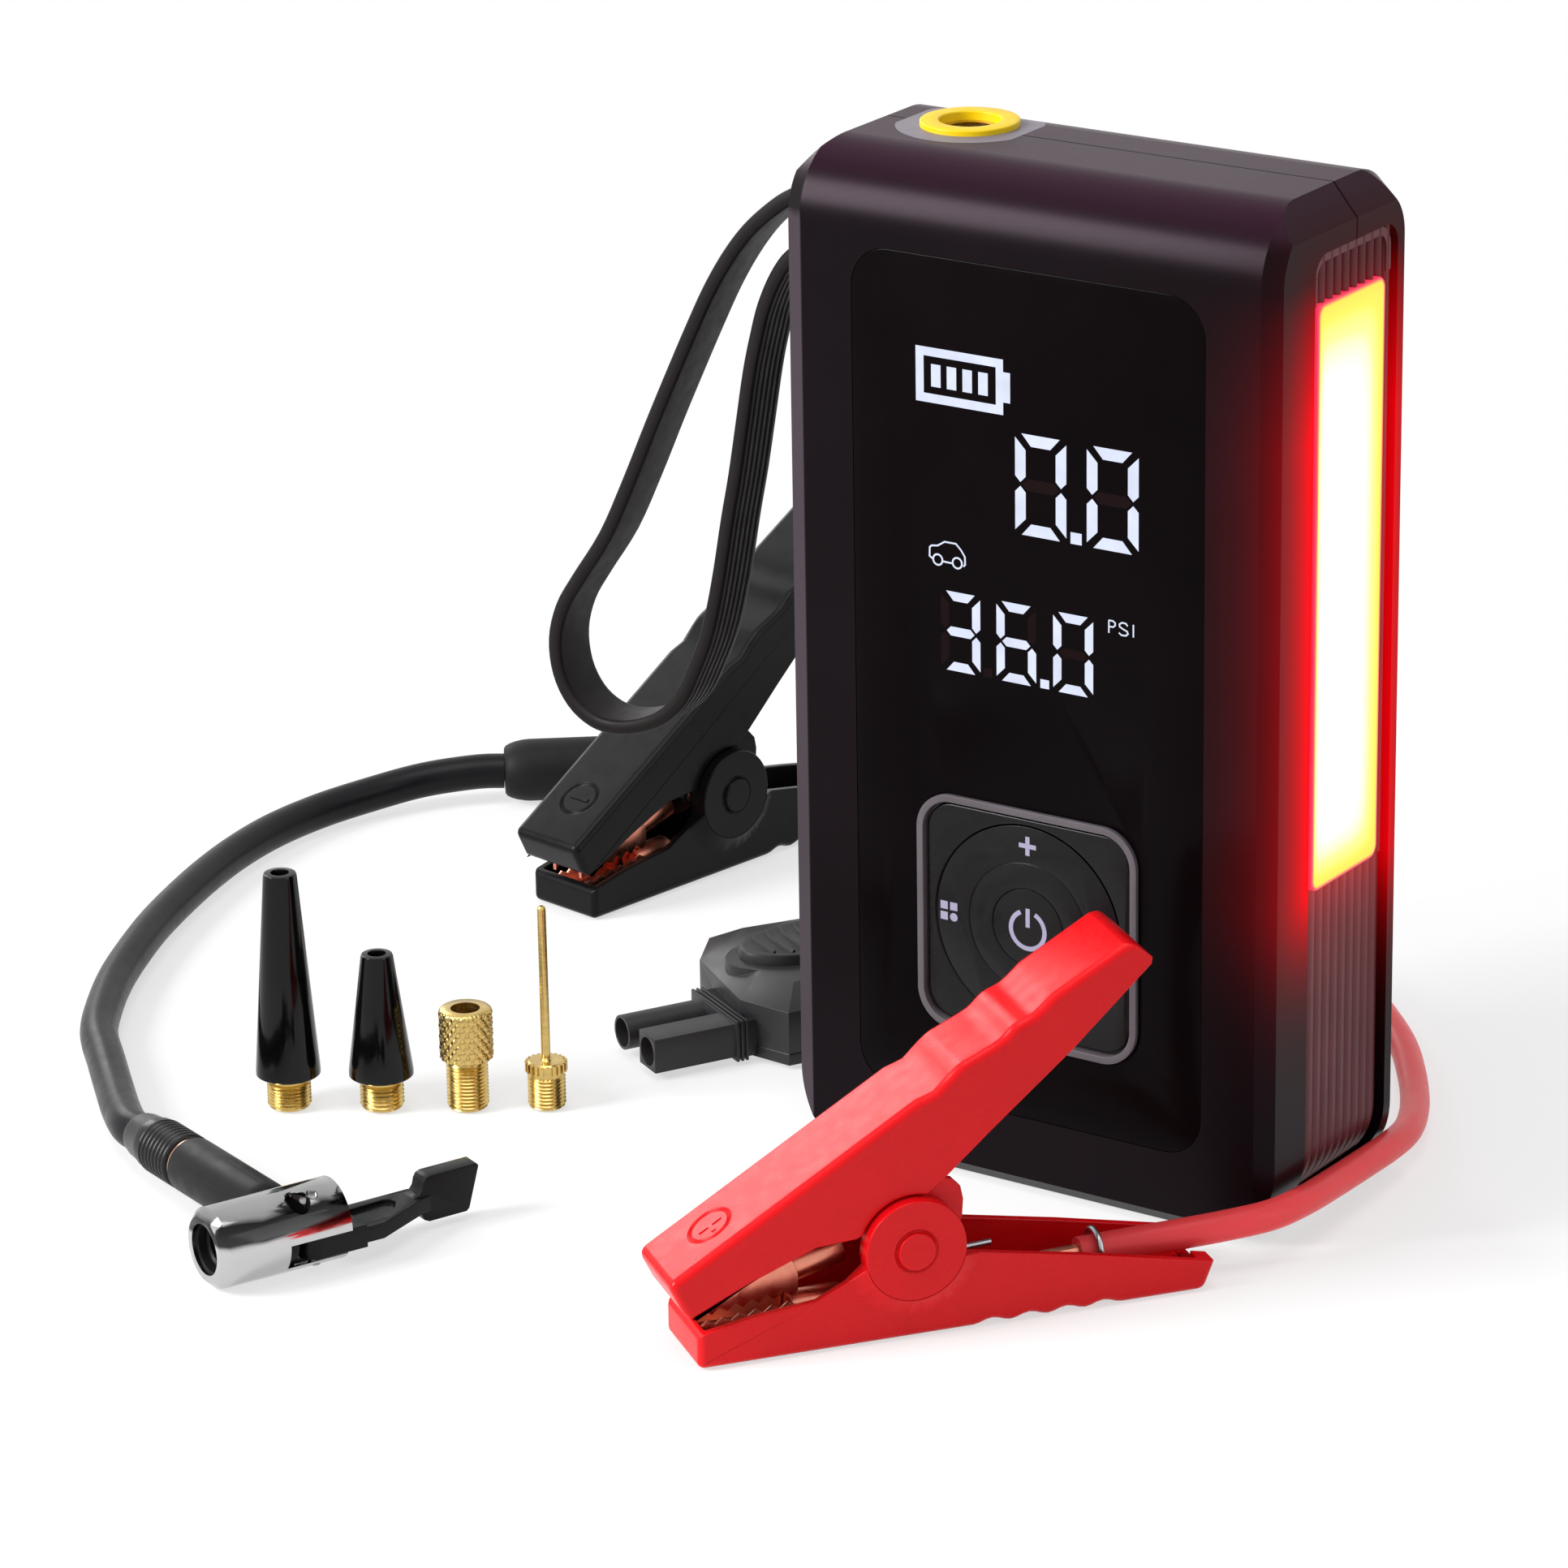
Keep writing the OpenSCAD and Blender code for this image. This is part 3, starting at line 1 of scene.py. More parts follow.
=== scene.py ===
# %% [markdown]
# A car jump starter with its own air pump, laid out with its leads, hose, chuck and nozzles.
# The engineering model gives every solid its place, so the first step loads it as a fixed
# frame. All the looks are then built around it: whatever is added sits where a solid says.

# %% Load the engineering model
import json
import math

import bmesh
import bpy
from mathutils import Matrix, Vector


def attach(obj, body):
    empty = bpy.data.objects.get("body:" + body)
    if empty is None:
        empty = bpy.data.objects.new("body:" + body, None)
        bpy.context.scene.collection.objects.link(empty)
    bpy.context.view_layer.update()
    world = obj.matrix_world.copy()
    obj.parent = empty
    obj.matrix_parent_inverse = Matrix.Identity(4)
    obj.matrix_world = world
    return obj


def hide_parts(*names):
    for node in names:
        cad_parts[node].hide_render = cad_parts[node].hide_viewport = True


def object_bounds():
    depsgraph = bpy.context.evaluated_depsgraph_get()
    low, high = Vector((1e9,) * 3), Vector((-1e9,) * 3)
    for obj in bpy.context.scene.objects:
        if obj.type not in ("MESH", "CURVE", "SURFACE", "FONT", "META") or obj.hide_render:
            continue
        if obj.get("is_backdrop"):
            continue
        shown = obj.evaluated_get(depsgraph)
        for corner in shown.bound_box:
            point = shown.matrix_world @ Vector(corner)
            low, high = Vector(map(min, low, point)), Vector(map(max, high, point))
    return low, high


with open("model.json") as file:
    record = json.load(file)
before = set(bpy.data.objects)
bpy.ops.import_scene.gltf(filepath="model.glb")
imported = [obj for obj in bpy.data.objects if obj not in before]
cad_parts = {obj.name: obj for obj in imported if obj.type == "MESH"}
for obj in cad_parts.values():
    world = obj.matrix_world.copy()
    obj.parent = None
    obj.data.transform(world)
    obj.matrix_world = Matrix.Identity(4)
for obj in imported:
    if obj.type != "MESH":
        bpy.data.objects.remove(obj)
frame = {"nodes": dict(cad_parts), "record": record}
solids = frame["nodes"]
cad_low, cad_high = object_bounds()
MM = 0.001
print("solids", len(solids), "box", [round(x, 4) for x in cad_low], [round(x, 4) for x in cad_high])

# %% [markdown]
# The camera comes first, because everything else is judged through it. A long lens flattens
# the case's upright edges, so it stands more than a metre away and a little above the case.
# Its three directions are written out as a matrix, which leaves no doubt about its roll.

# %% Camera
azimuth, elevation, roll = math.radians(34.207), math.radians(19.925), math.radians(-0.958)
look = Vector((-math.sin(azimuth) * math.cos(elevation), math.cos(azimuth) * math.cos(elevation),
               -math.sin(elevation)))
level = Vector((math.cos(azimuth), math.sin(azimuth), 0))
upright = level.cross(look)
right = math.cos(roll) * level + math.sin(roll) * upright
top = math.cos(roll) * upright - math.sin(roll) * level
eye = (right * -56.002 + top * 65.445 - look * 1178.34) * MM
camera = bpy.data.objects.new("camera", bpy.data.cameras.new("camera"))
bpy.context.scene.collection.objects.link(camera)
camera.matrix_world = Matrix.Translation(eye) @ Matrix((right, top, -look)).transposed().to_4x4()
camera.data.sensor_width, camera.data.lens = 36, 150.71
camera.data.clip_start, camera.data.clip_end = 0.05, 20
bpy.context.scene.camera = camera
print("camera at", [round(x, 3) for x in eye])

# %% [markdown]
# Pieces are built as meshes in millimetres and scaled once, so their numbers read like a
# drawing. Every piece rides on a body of the model, which is how it follows the moving parts.
# Faces are smooth, and only edges sharper than a given angle stay crisp.

# %% Helpers that make a piece
def placed(name, data):
    """An object in the scene, at the origin"""
    item = bpy.data.objects.new(name, data)
    bpy.context.scene.collection.objects.link(item)
    return item


def dress(piece, material, body="root", sharp=35):
    """Finish, shading and body of a piece whose mesh is ready"""
    piece.data.materials.clear()
    piece.data.materials.append(material)
    piece.data.polygons.foreach_set("use_smooth", [True] * len(piece.data.polygons))
    piece.data.set_sharp_from_angle(angle=math.radians(sharp))
    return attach(piece, body)


def add_piece(name, points, faces, material, body="root", sharp=35):
    """A mesh piece from points in millimetres"""
    mesh = bpy.data.meshes.new(name)
    mesh.from_pydata([Vector(p) * MM for p in points], [], faces)
    work = bmesh.new()
    work.from_mesh(mesh)
    bmesh.ops.remove_doubles(work, verts=work.verts, dist=1e-7)
    bmesh.ops.recalc_face_normals(work, faces=work.faces)
    work.to_mesh(mesh)
    work.free()
    return dress(placed(name, mesh), material, body, sharp)


def hoops(rows, count, closed=False, first=0):
    """Quads between rows of points that each go once round; end rows are filled, or joined if closed"""
    spans = rows if closed else rows - 1
    faces = []
    for i in range(spans):
        low, high = first + i * count, first + (i + 1) % rows * count
        faces += [(low + k, low + (k + 1) % count, high + (k + 1) % count, high + k) for k in range(count)]
    if not closed:
        faces += [tuple(range(first, first + count)), tuple(range(first + spans * count, first + rows * count))]
    return faces


def apply_modifiers(piece):
    """Turns what the modifiers make into the piece's own plain mesh"""
    evaluated = piece.evaluated_get(bpy.context.evaluated_depsgraph_get())
    mesh = bpy.data.meshes.new_from_object(evaluated)
    piece.modifiers.clear()
    piece.data = mesh
    return piece


def body_of(node):
    for body, nodes in frame["record"]["behaviour"]["bodies"].items():
        if node in nodes:
            return body


def merged(node):
    """A solid's faces with doubled points merged and flat neighbours joined, ready for editing"""
    work = bmesh.new()
    work.from_mesh(solids[node].data)
    bmesh.ops.remove_doubles(work, verts=work.verts, dist=2e-6)
    bmesh.ops.dissolve_limit(work, angle_limit=math.radians(0.8), verts=work.verts, edges=work.edges)
    return work


def stand_in(node, work, modifier, settings, material, sharp):
    """The edited copy of a solid, with one modifier run on it, takes the solid's place"""
    mesh = solids[node].data.copy()
    work.to_mesh(mesh)
    work.free()
    piece = placed(node + "_moulded", mesh)
    step = piece.modifiers.new(modifier.lower(), modifier)
    for label, value in settings.items():
        setattr(step, label, value)
    if modifier == "WEIGHTED_NORMAL":
        dress(piece, material, body_of(node), sharp)
        apply_modifiers(piece)
    else:
        apply_modifiers(piece)
        dress(piece, material, body_of(node), sharp)
    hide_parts(node)
    return piece


def bevelled(node, width, material, segments=3, sharp=40, angle=28):
    """A copy of a solid with its hard edges rounded"""
    settings = {"width": width * MM, "segments": segments, "limit_method": "ANGLE",
                "angle_limit": math.radians(angle), "miter_outer": "MITER_ARC"}
    return stand_in(node, merged(node), "BEVEL", settings, material, sharp)


def edges_rounded(node, material, axes, rounds, sharp=40):
    """A copy of a solid with chosen edges rounded; each round is (width, segments, least angle, test)"""
    work = merged(node)
    inward = axes.inverted()
    for width, segments, least, test in rounds:
        chosen = []
        for edge in work.edges:
            if len(edge.link_faces) == 2 and edge.calc_face_angle(0) > math.radians(least):
                a, b = (inward @ v.co / MM for v in edge.verts)
                if test(a, b):
                    chosen.append(edge)
        bmesh.ops.bevel(work, geom=chosen, offset=width * MM, offset_type="OFFSET", segments=segments, profile=0.5,
                        affect="EDGES", clamp_overlap=False, miter_outer="ARC")
        print(node, len(chosen), "edges rounded by", width, "mm")
    return stand_in(node, work, "WEIGHTED_NORMAL", {"keep_sharp": True}, material, sharp)


def use(material, *nodes):
    """Solids whose shape is already right keep their mesh and get their finish"""
    for node in nodes:
        for place in solids[node].material_slots:
            place.material = material


# %% [markdown]
# Most of the set is moulded plastic or rubber. Such a surface is never one flat colour: the
# mould leaves a fine grain, the gloss varies a little with handling, and the colour drifts.
# One function makes all of these from noise textures on Object coordinates, so the grain
# keeps its real size on every piece. Two small classes keep the node writing short.

# %% Finishes: moulded plastic and rubber
def tone(red, green, blue):
    """A colour as it looks on a screen, 0 to 255, as the linear colour a shader wants"""
    return [((c / 255 + 0.055) / 1.055) ** 2.4 if c > 10 else c / 255 / 12.92 for c in (red, green, blue)] + [1]


class Nodes:
    """Short ways to add and join the nodes of one tree"""

    def __init__(self, tree):
        self.tree = tree

    def feed(self, made, *numbered, **named):
        """Sets inputs to values or to other nodes' outputs; a name has _ for each space"""
        for label, value in list(enumerate(numbered)) + [(k.replace("_", " "), v) for k, v in named.items()]:
            if isinstance(value, bpy.types.Node):
                value = value.outputs[0]
            if isinstance(value, bpy.types.NodeSocket):
                self.tree.links.new(value, made.inputs[label])
            elif value is not None:
                made.inputs[label].default_value = value
        return made

    def add(self, kind, *numbered, settings=(), **named):
        made = self.tree.nodes.new(kind)
        for label, value in dict(settings).items():
            setattr(made, label, value)
        return self.feed(made, *numbered, **named)

    def maths(self, operation, *values):
        return self.add("ShaderNodeMath", *values, settings={"operation": operation})

    def spread(self, value, low, high, start_at=0.3, end_at=0.7):
        """A value from start to end, spread from low to high"""
        return self.add("ShaderNodeMapRange", Value=value, From_Min=start_at, From_Max=end_at, To_Min=low,
                        To_Max=high)

    def seen_directly(self):
        """1 where the camera sees the surface, also by reflection or through glass"""
        path = self.add("ShaderNodeLightPath").outputs
        return self.maths("MAXIMUM", path["Is Camera Ray"],
                          self.maths("MAXIMUM", path["Is Glossy Ray"], path["Is Transmission Ray"]))


class Finish(Nodes):
    """A material whose nodes go by Object coordinates"""

    def __init__(self, name):
        self.material = bpy.data.materials.new(name)
        self.material.use_nodes = True
        super().__init__(self.material.node_tree)
        self.at = self.add("ShaderNodeTexCoord").outputs["Object"]

    def surface(self, **inputs):
        self.feed(self.tree.nodes["Principled BSDF"], **inputs)

    def parts(self):
        return self.add("ShaderNodeSeparateXYZ", self.at).outputs

    def noise(self, scale, detail=2.0, roughness=0.5):
        return self.add("ShaderNodeTexNoise", Vector=self.at, Scale=scale, Detail=detail, Roughness=roughness)

    def ramp(self, value, stops):
        made = self.add("ShaderNodeValToRGB", value)
        elements = made.color_ramp.elements
        for element, (position, colour) in zip(elements, (stops[0], stops[-1])):
            element.position, element.color = position, colour
        for position, colour in stops[1:-1]:
            elements.new(position).color = colour
        return made

    def drift(self, scale, first, second):
        """A colour that wanders between two tones"""
        return self.ramp(self.noise(scale), [(0.3, first), (0.7, second)])

    def mixed(self, factor, first, second):
        mix = self.add("ShaderNodeMix", settings={"data_type": "RGBA"}, Factor=factor, A=first, B=second)
        return mix.outputs["Result"]

    def fade(self, way, reach):
        """Falls from 1 by e for every reach"""
        return self.maths("POWER", 2.718, self.maths("DIVIDE", way, -reach))

    def grain(self, size, depth):
        """Bumps of a given size, in millimetres, and depth, in micrometres"""
        bump = self.add("ShaderNodeBump", Strength=1, Distance=depth * 1e-6, Height=self.noise(1000 / size, 3, 0.6))
        self.surface(Normal=bump)
        return self.material


def moulded(name, colour, gloss, size=0.35, depth=12, drift=0.12, coat=0.0, level=0.25):
    finish = Finish(name)
    darker, lighter = ([min(1, c * share) for c in tone(*colour)[:3]] + [1] for share in (1 - drift, 1 + drift))
    finish.surface(Base_Color=finish.drift(60, darker, lighter), Coat_Weight=coat, Coat_Roughness=0.08,
                   Specular_IOR_Level=level,
                   Roughness=finish.spread(finish.noise(350, 4), gloss - 0.04, gloss + 0.05))
    return finish.grain(size, depth)


trim_grey = moulded("trim_grey", (118, 112, 122), 0.4, 0.3, 6)
band_rubber = moulded("band_rubber", (20, 15, 16), 0.5, 0.3, 8, level=0.15)
hose_rubber = moulded("hose_rubber", (15, 15, 18), 0.34, 0.5, 8, level=0.16)
cuff_rubber = moulded("cuff_rubber", (24, 24, 25), 0.55, 0.3, 14, level=0.15)
cuff_gloss = moulded("cuff_gloss", (20, 19, 19), 0.28, 0.4, 5, level=0.28)
lead_red = moulded("lead_red", (242, 72, 76), 0.36, 0.9, 12, 0.05)
lead_black = moulded("lead_black", (17, 17, 19), 0.36, 0.9, 12, level=0.15)
handle_red = moulded("handle_red", (212, 12, 20), 0.28, 0.3, 3, 0.04, level=0.2)
handle_black = moulded("handle_black", (14, 14, 16), 0.3, 0.3, 4, level=0.12)
plug_grey = moulded("plug_grey", (36, 35, 37), 0.4, 0.3, 18, level=0.34)
chuck_black = moulded("chuck_black", (10, 10, 10), 0.46, 0.3, 10, level=0.15)
lever_black = moulded("lever_black", (16, 16, 17), 0.28, 0.4, 6, level=0.16)
nozzle_black = moulded("nozzle_black", (6, 6, 7), 0.12, 0.8, 2, 0.1, 0.08, 0.2)
ring_yellow = moulded("ring_yellow", (232, 196, 8), 0.4, 0.3, 6, 0.06)
board_green = moulded("board_green", (26, 82, 48), 0.45, 0.5, 10)
cell_blue = moulded("cell_blue", (76, 97, 128), 0.4, 0.5, 5)
socket_blue = moulded("socket_blue", (30, 56, 106), 0.45, 0.4, 8)
nylon = moulded("nylon", (98, 96, 100), 0.5, 0.4, 8)

# %% [markdown]
# Metal has no colour of its own beneath the reflection, so the Metallic value is 1 and the
# look comes from how rough it is. Turned brass shows fine rings left by the cutting tool,
# so its noise is squeezed along the upright axis.

# %% Finishes: metal
def metal(name, colour, gloss, streak=(1, 1, 1), size=0.4, depth=6):
    finish = Finish(name)
    finish.at = finish.add("ShaderNodeMapping", Vector=finish.at, Scale=streak).outputs[0]
    base = tone(*colour)
    finish.surface(Base_Color=finish.drift(240, [c * 0.82 for c in base[:3]] + [1], base), Metallic=1,
                   Roughness=finish.spread(finish.noise(500, 4), gloss - 0.05, gloss + 0.08))
    return finish.grain(size, depth)


brass = metal("brass", (214, 184, 112), 0.24, (1, 1, 6))
steel = metal("steel", (176, 176, 180), 0.26)
copper = metal("copper", (232, 148, 124), 0.3)
rose_gold = metal("rose_gold", (206, 158, 136), 0.2)

# %% [markdown]
# The case is black with a trace of purple. A painted highlight makes its left bevel and its top
# paler, painted shade makes the seam a fine dark line, and a painted red glow stands for the
# light of the lamp on its right side on the plastic round it. All of these follow the case itself,
# so they are built from Object coordinates: how far a point is from the lamp's outline gives the strength of the
# painted glow.

# %% Finish: the case and the lamp's painted glow
LAMP_Y, LAMP_Z, LAMP_CORNER = (-9.8, 13.4), (61.6, 166.3), 2.4
SIDE_X, SEAM_Y = 49, 3
BEVEL_WIDE, BEVEL_DEEP = 3.4, 1.6


def from_lamp(finish):
    """Distance from the lamp's outline in metres, negative inside it, measured over the side"""
    parts, maths, across = finish.parts(), finish.maths, []
    for axis, (low, high) in (("Y", LAMP_Y), ("Z", LAMP_Z)):
        middle, half = (low + high) / 2 * MM, ((high - low) / 2 - LAMP_CORNER) * MM
        across.append(maths("SUBTRACT", maths("ABSOLUTE", maths("SUBTRACT", parts[axis], middle)), half))
    outside = [maths("MAXIMUM", a, 0.0) for a in across]
    reach = maths("SQRT", maths("ADD", *(maths("MULTIPLY", o, o) for o in outside)))
    inside = maths("MINIMUM", maths("MAXIMUM", *across), 0.0)
    return maths("SUBTRACT", maths("ADD", reach, inside), LAMP_CORNER * MM), parts


def painted_lamp_glow(finish, strength, reach):
    """Painted red glow: the lamp's light painted as emission on the plastic near it, fading along the side and round
    its edge
    """
    distance, parts = from_lamp(finish)
    maths = finish.maths
    inward = maths("SUBTRACT", SIDE_X * MM, parts["X"])
    way = maths("ADD", maths("MAXIMUM", distance, 0.0), maths("MAXIMUM", inward, 0.0))
    end = finish.spread(parts["Z"], 1.0, 0.09, 0.143, 0.171)
    light = maths("MULTIPLY", maths("MULTIPLY", finish.fade(way, reach * MM), strength), end)
    finish.surface(Emission_Color=(1, 0, 0.004, 1), Emission_Strength=light)
    return parts, way


def case_finish():
    finish = Finish("case_black")
    # Painted red glow: the lamp's light on the case, painted as emission
    parts, way = painted_lamp_glow(finish, 1.5, 5.9)
    maths = finish.maths
    body = finish.drift(40, tone(8, 5, 6), tone(11, 7, 9))
    # Painted highlight: the top, above 177 mm, is painted a paler purple where the light falls on it
    body = finish.mixed(finish.spread(parts["Z"], 0, 1, 0.177, 0.183), body, tone(40, 16, 32))
    # Painted highlight: the left bevel is painted paler where it catches the light; its plane is a sum of X and Y
    edge = maths("MULTIPLY_ADD", parts["X"], BEVEL_DEEP, maths("MULTIPLY", parts["Y"], BEVEL_WIDE))
    body = finish.mixed(finish.spread(edge, 1, 0, -0.1511, -0.1507), body, tone(54, 45, 52))
    # Painted shade: the seam between the shells is painted as a fine dark line all round, without reflection
    aside = maths("ABSOLUTE", maths("SUBTRACT", parts["Y"], SEAM_Y * MM))
    open_face = finish.spread(aside, 0.1, 1, 0.0001, 0.0004)
    # Beside the lamp its own light drowns the room's reflection
    away = maths("SUBTRACT", 1.0, finish.fade(way, 14 * MM))
    finish.surface(Base_Color=finish.mixed(open_face, tone(4, 2, 3), body), Specular_Tint=(1, 0.74, 0.92, 1),
                   Roughness=finish.spread(finish.noise(2600, 2), 0.29, 0.33),
                   Specular_IOR_Level=maths("MULTIPLY", maths("MULTIPLY", open_face, away), 0.09))
    return finish.grain(0.16, 3)


def rib_finish():
    finish = Finish("rib_maroon")
    # Painted red glow: the lamp's light on the ribs, painted as emission
    painted_lamp_glow(finish, 0.36, 6.8)
    finish.surface(Base_Color=finish.drift(60, tone(84, 38, 42), tone(96, 46, 51)), Specular_IOR_Level=0.25,
                   Roughness=finish.spread(finish.noise(2600, 2), 0.4, 0.46))
    return finish.grain(0.2, 3)


case_black = case_finish()
rib_maroon = rib_finish()
use(case_black, "front_shell", "back_shell")
bevelled("outlet_ring", 0.3, ring_yellow, 3)
use(trim_grey, "outlet_plate", "strap_anchor", "rocker_carrier")
use(board_green, "display_board", "main_board", "lamp_board")
use(cell_blue, "battery_cells")
use(nylon, "pump_housing", "crank_gear")
use(steel, "pump_motor", "pump_piston", "case_screws", "cable_clips", "pivot_pins")
use(brass, "motor_pinion", "outlet_fitting", "plug_contacts", "hose_fitting")
use(socket_blue, "jump_socket")
use(cuff_rubber, "port_cover", "chuck_seal")
use(copper, "cable_cores")

# %% [markdown]
# The three cords are fixed lengths of something flexible: two silicone leads and one rubber
# hose. Each lies on the surface along a route of measured points, the same route as its
# solid. A smooth curve through the points becomes a round tube, and each cord's length is printed.

# %% Cords
def smooth_line(points, steps):
    """A Catmull-Rom curve through the points"""
    p = [Vector(points[0])] + [Vector(q) for q in points] + [Vector(points[-1])]
    line = []
    for i in range(1, len(p) - 2):
        a, b, c, d = p[i - 1], p[i], p[i + 1], p[i + 2]
        for k in range(steps):
            t = k / steps
            line.append(0.5 * (2 * b + (c - a) * t + (2 * a - 5 * b + 4 * c - d) * t * t
                               + (3 * b - a - 3 * c + d) * t ** 3))
    return line + [p[-1]]


def sweep(line, ring, twist=None):
    """Points and faces of a closed ring of (side, up) offsets carried along a line"""
    points = []
    for i, at in enumerate(line):
        ahead = (line[min(i + 1, len(line) - 1)] - line[max(i - 1, 0)]).normalized()
        side = (twist or Vector((0, 0, 1))).cross(ahead).normalized()
        over = ahead.cross(side)
        points += [at + side * s + over * u for s, u in ring]
    return points, hoops(len(line), len(ring))


def circle(radius, count=24):
    return [(radius * math.cos(math.tau * k / count), radius * math.sin(math.tau * k / count)) for k in range(count)]


red_route = [(28.73, -53.3, 6.6), (34, -46.3, 6.8), (39.8, -39.4, 7.2), (45.8, -32.6, 7.8), (50.6, -25.4, 8.2),
             (52, -16.4, 7.9), (51.7, -5, 7.1), (51.2, 7, 6.4), (50.4, 17, 5.6), (48.4, 27, 4.5), (44.4, 37, 3.4),
             (39.4, 46.5, 2.8), (33.4, 56, 2.8), (27, 65, 2.8), (19, 74, 2.8), (10.5, 82, 2.8), (0, 88, 2.8),
             (-11, 90, 2.8), (-22.5, 88.5, 2.8), (-33, 83.5, 2.8), (-42, 76, 2.8), (-49.5, 66.3, 3.8),
             (-56.3, 53.4, 5.7), (-59.7, 47.3, 5.7), (-62.1, 42.9, 5.7)]
black_route = [(-138.48, 116.83, 6.6), (-136.9, 125.5, 6.8), (-135.3, 134.5, 6.6), (-133.2, 144, 4.9),
               (-129, 154, 3.2), (-121, 163.5, 2.8), (-110, 168.5, 2.8), (-98, 167, 2.8), (-88, 160, 2.8),
               (-81, 150, 2.8), (-75, 139, 2.8), (-69.5, 127.5, 2.8), (-64.5, 115.5, 2.8), (-60.4, 103.5, 2.8),
               (-57.8, 91.5, 2.8), (-57.5, 79.5, 3.2), (-60, 68.3, 4.4), (-65, 58.2, 5.7), (-68.4, 52.1, 5.7),
               (-70.8, 47.7, 5.7)]
hose_route = [(-142.58, -94.53, 5.1), (-147.15, -92.53, 4.9), (-154.2, -86.4, 4.2), (-163, -77.8, 3.7),
              (-172.5, -68.5, 3.7), (-182.5, -58.5, 3.7), (-190.5, -47, 3.7), (-197.5, -35, 3.7),
              (-203.5, -22.5, 3.7), (-209, -9.5, 3.7), (-213.5, 3.5, 3.7), (-217.5, 17, 3.7),
              (-220.5, 30.5, 3.7), (-222, 44.5, 3.7), (-221, 58.5, 3.8), (-217, 71, 4.4), (-211, 80.8, 5.6),
              (-203.2, 88.33, 6.5), (-198.52, 91.98, 6.5)]


def cord(name, route, diameter, material, node):
    line = smooth_line(route, 6)
    points, faces = sweep(line, circle(diameter / 2))
    piece = add_piece(name, points, faces, material)
    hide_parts(node)
    [c * MM for c in route[0]]
    [[c * MM for c in p] for p in line]
    print(name, "measures", round(sum((b - a).length for a, b in zip(line, line[1:]))), "mm")


cord("red_lead", red_route, 5.4, lead_red, "red_cable")
cord("black_lead", black_route, 5.4, lead_black, "black_cable")

# %% [markdown]
# The hose ends in two fittings. The far one, which screws into the case, has a rubber cuff:
# a short lathe profile turned about the hose's end. Turning a profile is the natural way to
# make anything that came off a lathe or out of a round mould, so the helper is used again
# for the chuck and the nozzles.

# %% A lathe helper and the hose's cuffs
def turned(name, start_at, along, profile, material, body="root", count=48, sharp=35):
    """A profile of (distance, radius) pairs turned about a line; it closes on itself"""
    start_at, along = Vector(start_at), Vector(along).normalized()
    side = along.cross(Vector((0, 0, 1)) if abs(along.z) < 0.9 else Vector((1, 0, 0))).normalized()
    over = along.cross(side)
    points = []
    for k in range(count):
        angle = math.tau * k / count
        out = side * math.cos(angle) + over * math.sin(angle)
        points += [start_at + along * t + out * r for t, r in profile]
    return add_piece(name, points, hoops(count, len(profile), True), material, body, sharp)


def ridged(start_at, end_at, radius, height, count):
    """Outline of a run of round ridges, as a cuff or a thread has"""
    profile, pitch = [], (end_at - start_at) / count
    for i in range(count):
        for k in range(6):
            t = k / 6
            profile.append((start_at + pitch * (i + t), radius + height * math.sin(math.pi * min(1, t * 1.25)) ** 0.8
                            if t < 0.8 else radius))
    return profile + [(end_at, radius)]


far_end, far_way = Vector((-198.5, 92, 6.5)), Vector((math.cos(math.radians(38)), math.sin(math.radians(38)), 0))
far_cuff = turned("far_cuff", far_end, far_way,
                  [(0, 3.55), (0.05, 4.6), (0.4, 5.15), (1.2, 5.6), (2.4, 6.0), (4, 6.3), (5.2, 6.4), (19.2, 6.4),
                   (19.7, 6.25), (20, 5.8), (20, 3.1), (18.2, 3.05), (17.9, 1), (2, 1)], cuff_rubber)
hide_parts("hose_cuff")
cord("air_hose_tube", hose_route, 7.2, hose_rubber, "air_hose")

# %% [markdown]
# The chuck at the hose's near end: a ribbed rubber cuff, a thin rose-gold ring, a matt barrel
# and the chrome sleeve that holds the lever. The sleeve's axes are turned 66.4 degrees from
# the drawing's, so a small helper takes a point in the chuck's own axes to the drawing's.

# %% The lever chuck
def turned_point(origin, degrees, x, y, z):
    """A point of something that stands turned about the upright axis"""
    turn = math.radians(degrees)
    return Vector((origin[0] + x * math.cos(turn) - y * math.sin(turn),
                   origin[1] + x * math.sin(turn) + y * math.cos(turn), z))


def in_chuck(x, y, z):
    return turned_point((-97.9, -132.6), 66.4, x, y, 7.3 + z)


def sleeve_painted_reflection():
    """Chrome with a painted reflection: a dark band painted along its upper side, as a polished round tube would
    reflect there
    """
    finish = Finish("sleeve_chrome")
    # Painted reflection: grey tones by height, dark from 9.7 to 13.4 mm up
    bands = ((0, 186), (9.0, 196), (9.7, 62), (12.6, 40), (13.4, 150), (15, 176))
    top_height = bands[-1][0]
    height = finish.maths("ADD", finish.parts()["Z"], finish.spread(finish.noise(90), -0.4 * MM, 0.4 * MM))
    tones = finish.ramp(finish.maths("DIVIDE", height, top_height * MM),
                        [(z / top_height, tone(grey, grey, grey)) for z, grey in bands])
    finish.surface(Base_Color=tones, Metallic=1, Roughness=finish.spread(finish.noise(500, 4), 0.07, 0.17))
    return finish.grain(1.2, 2)


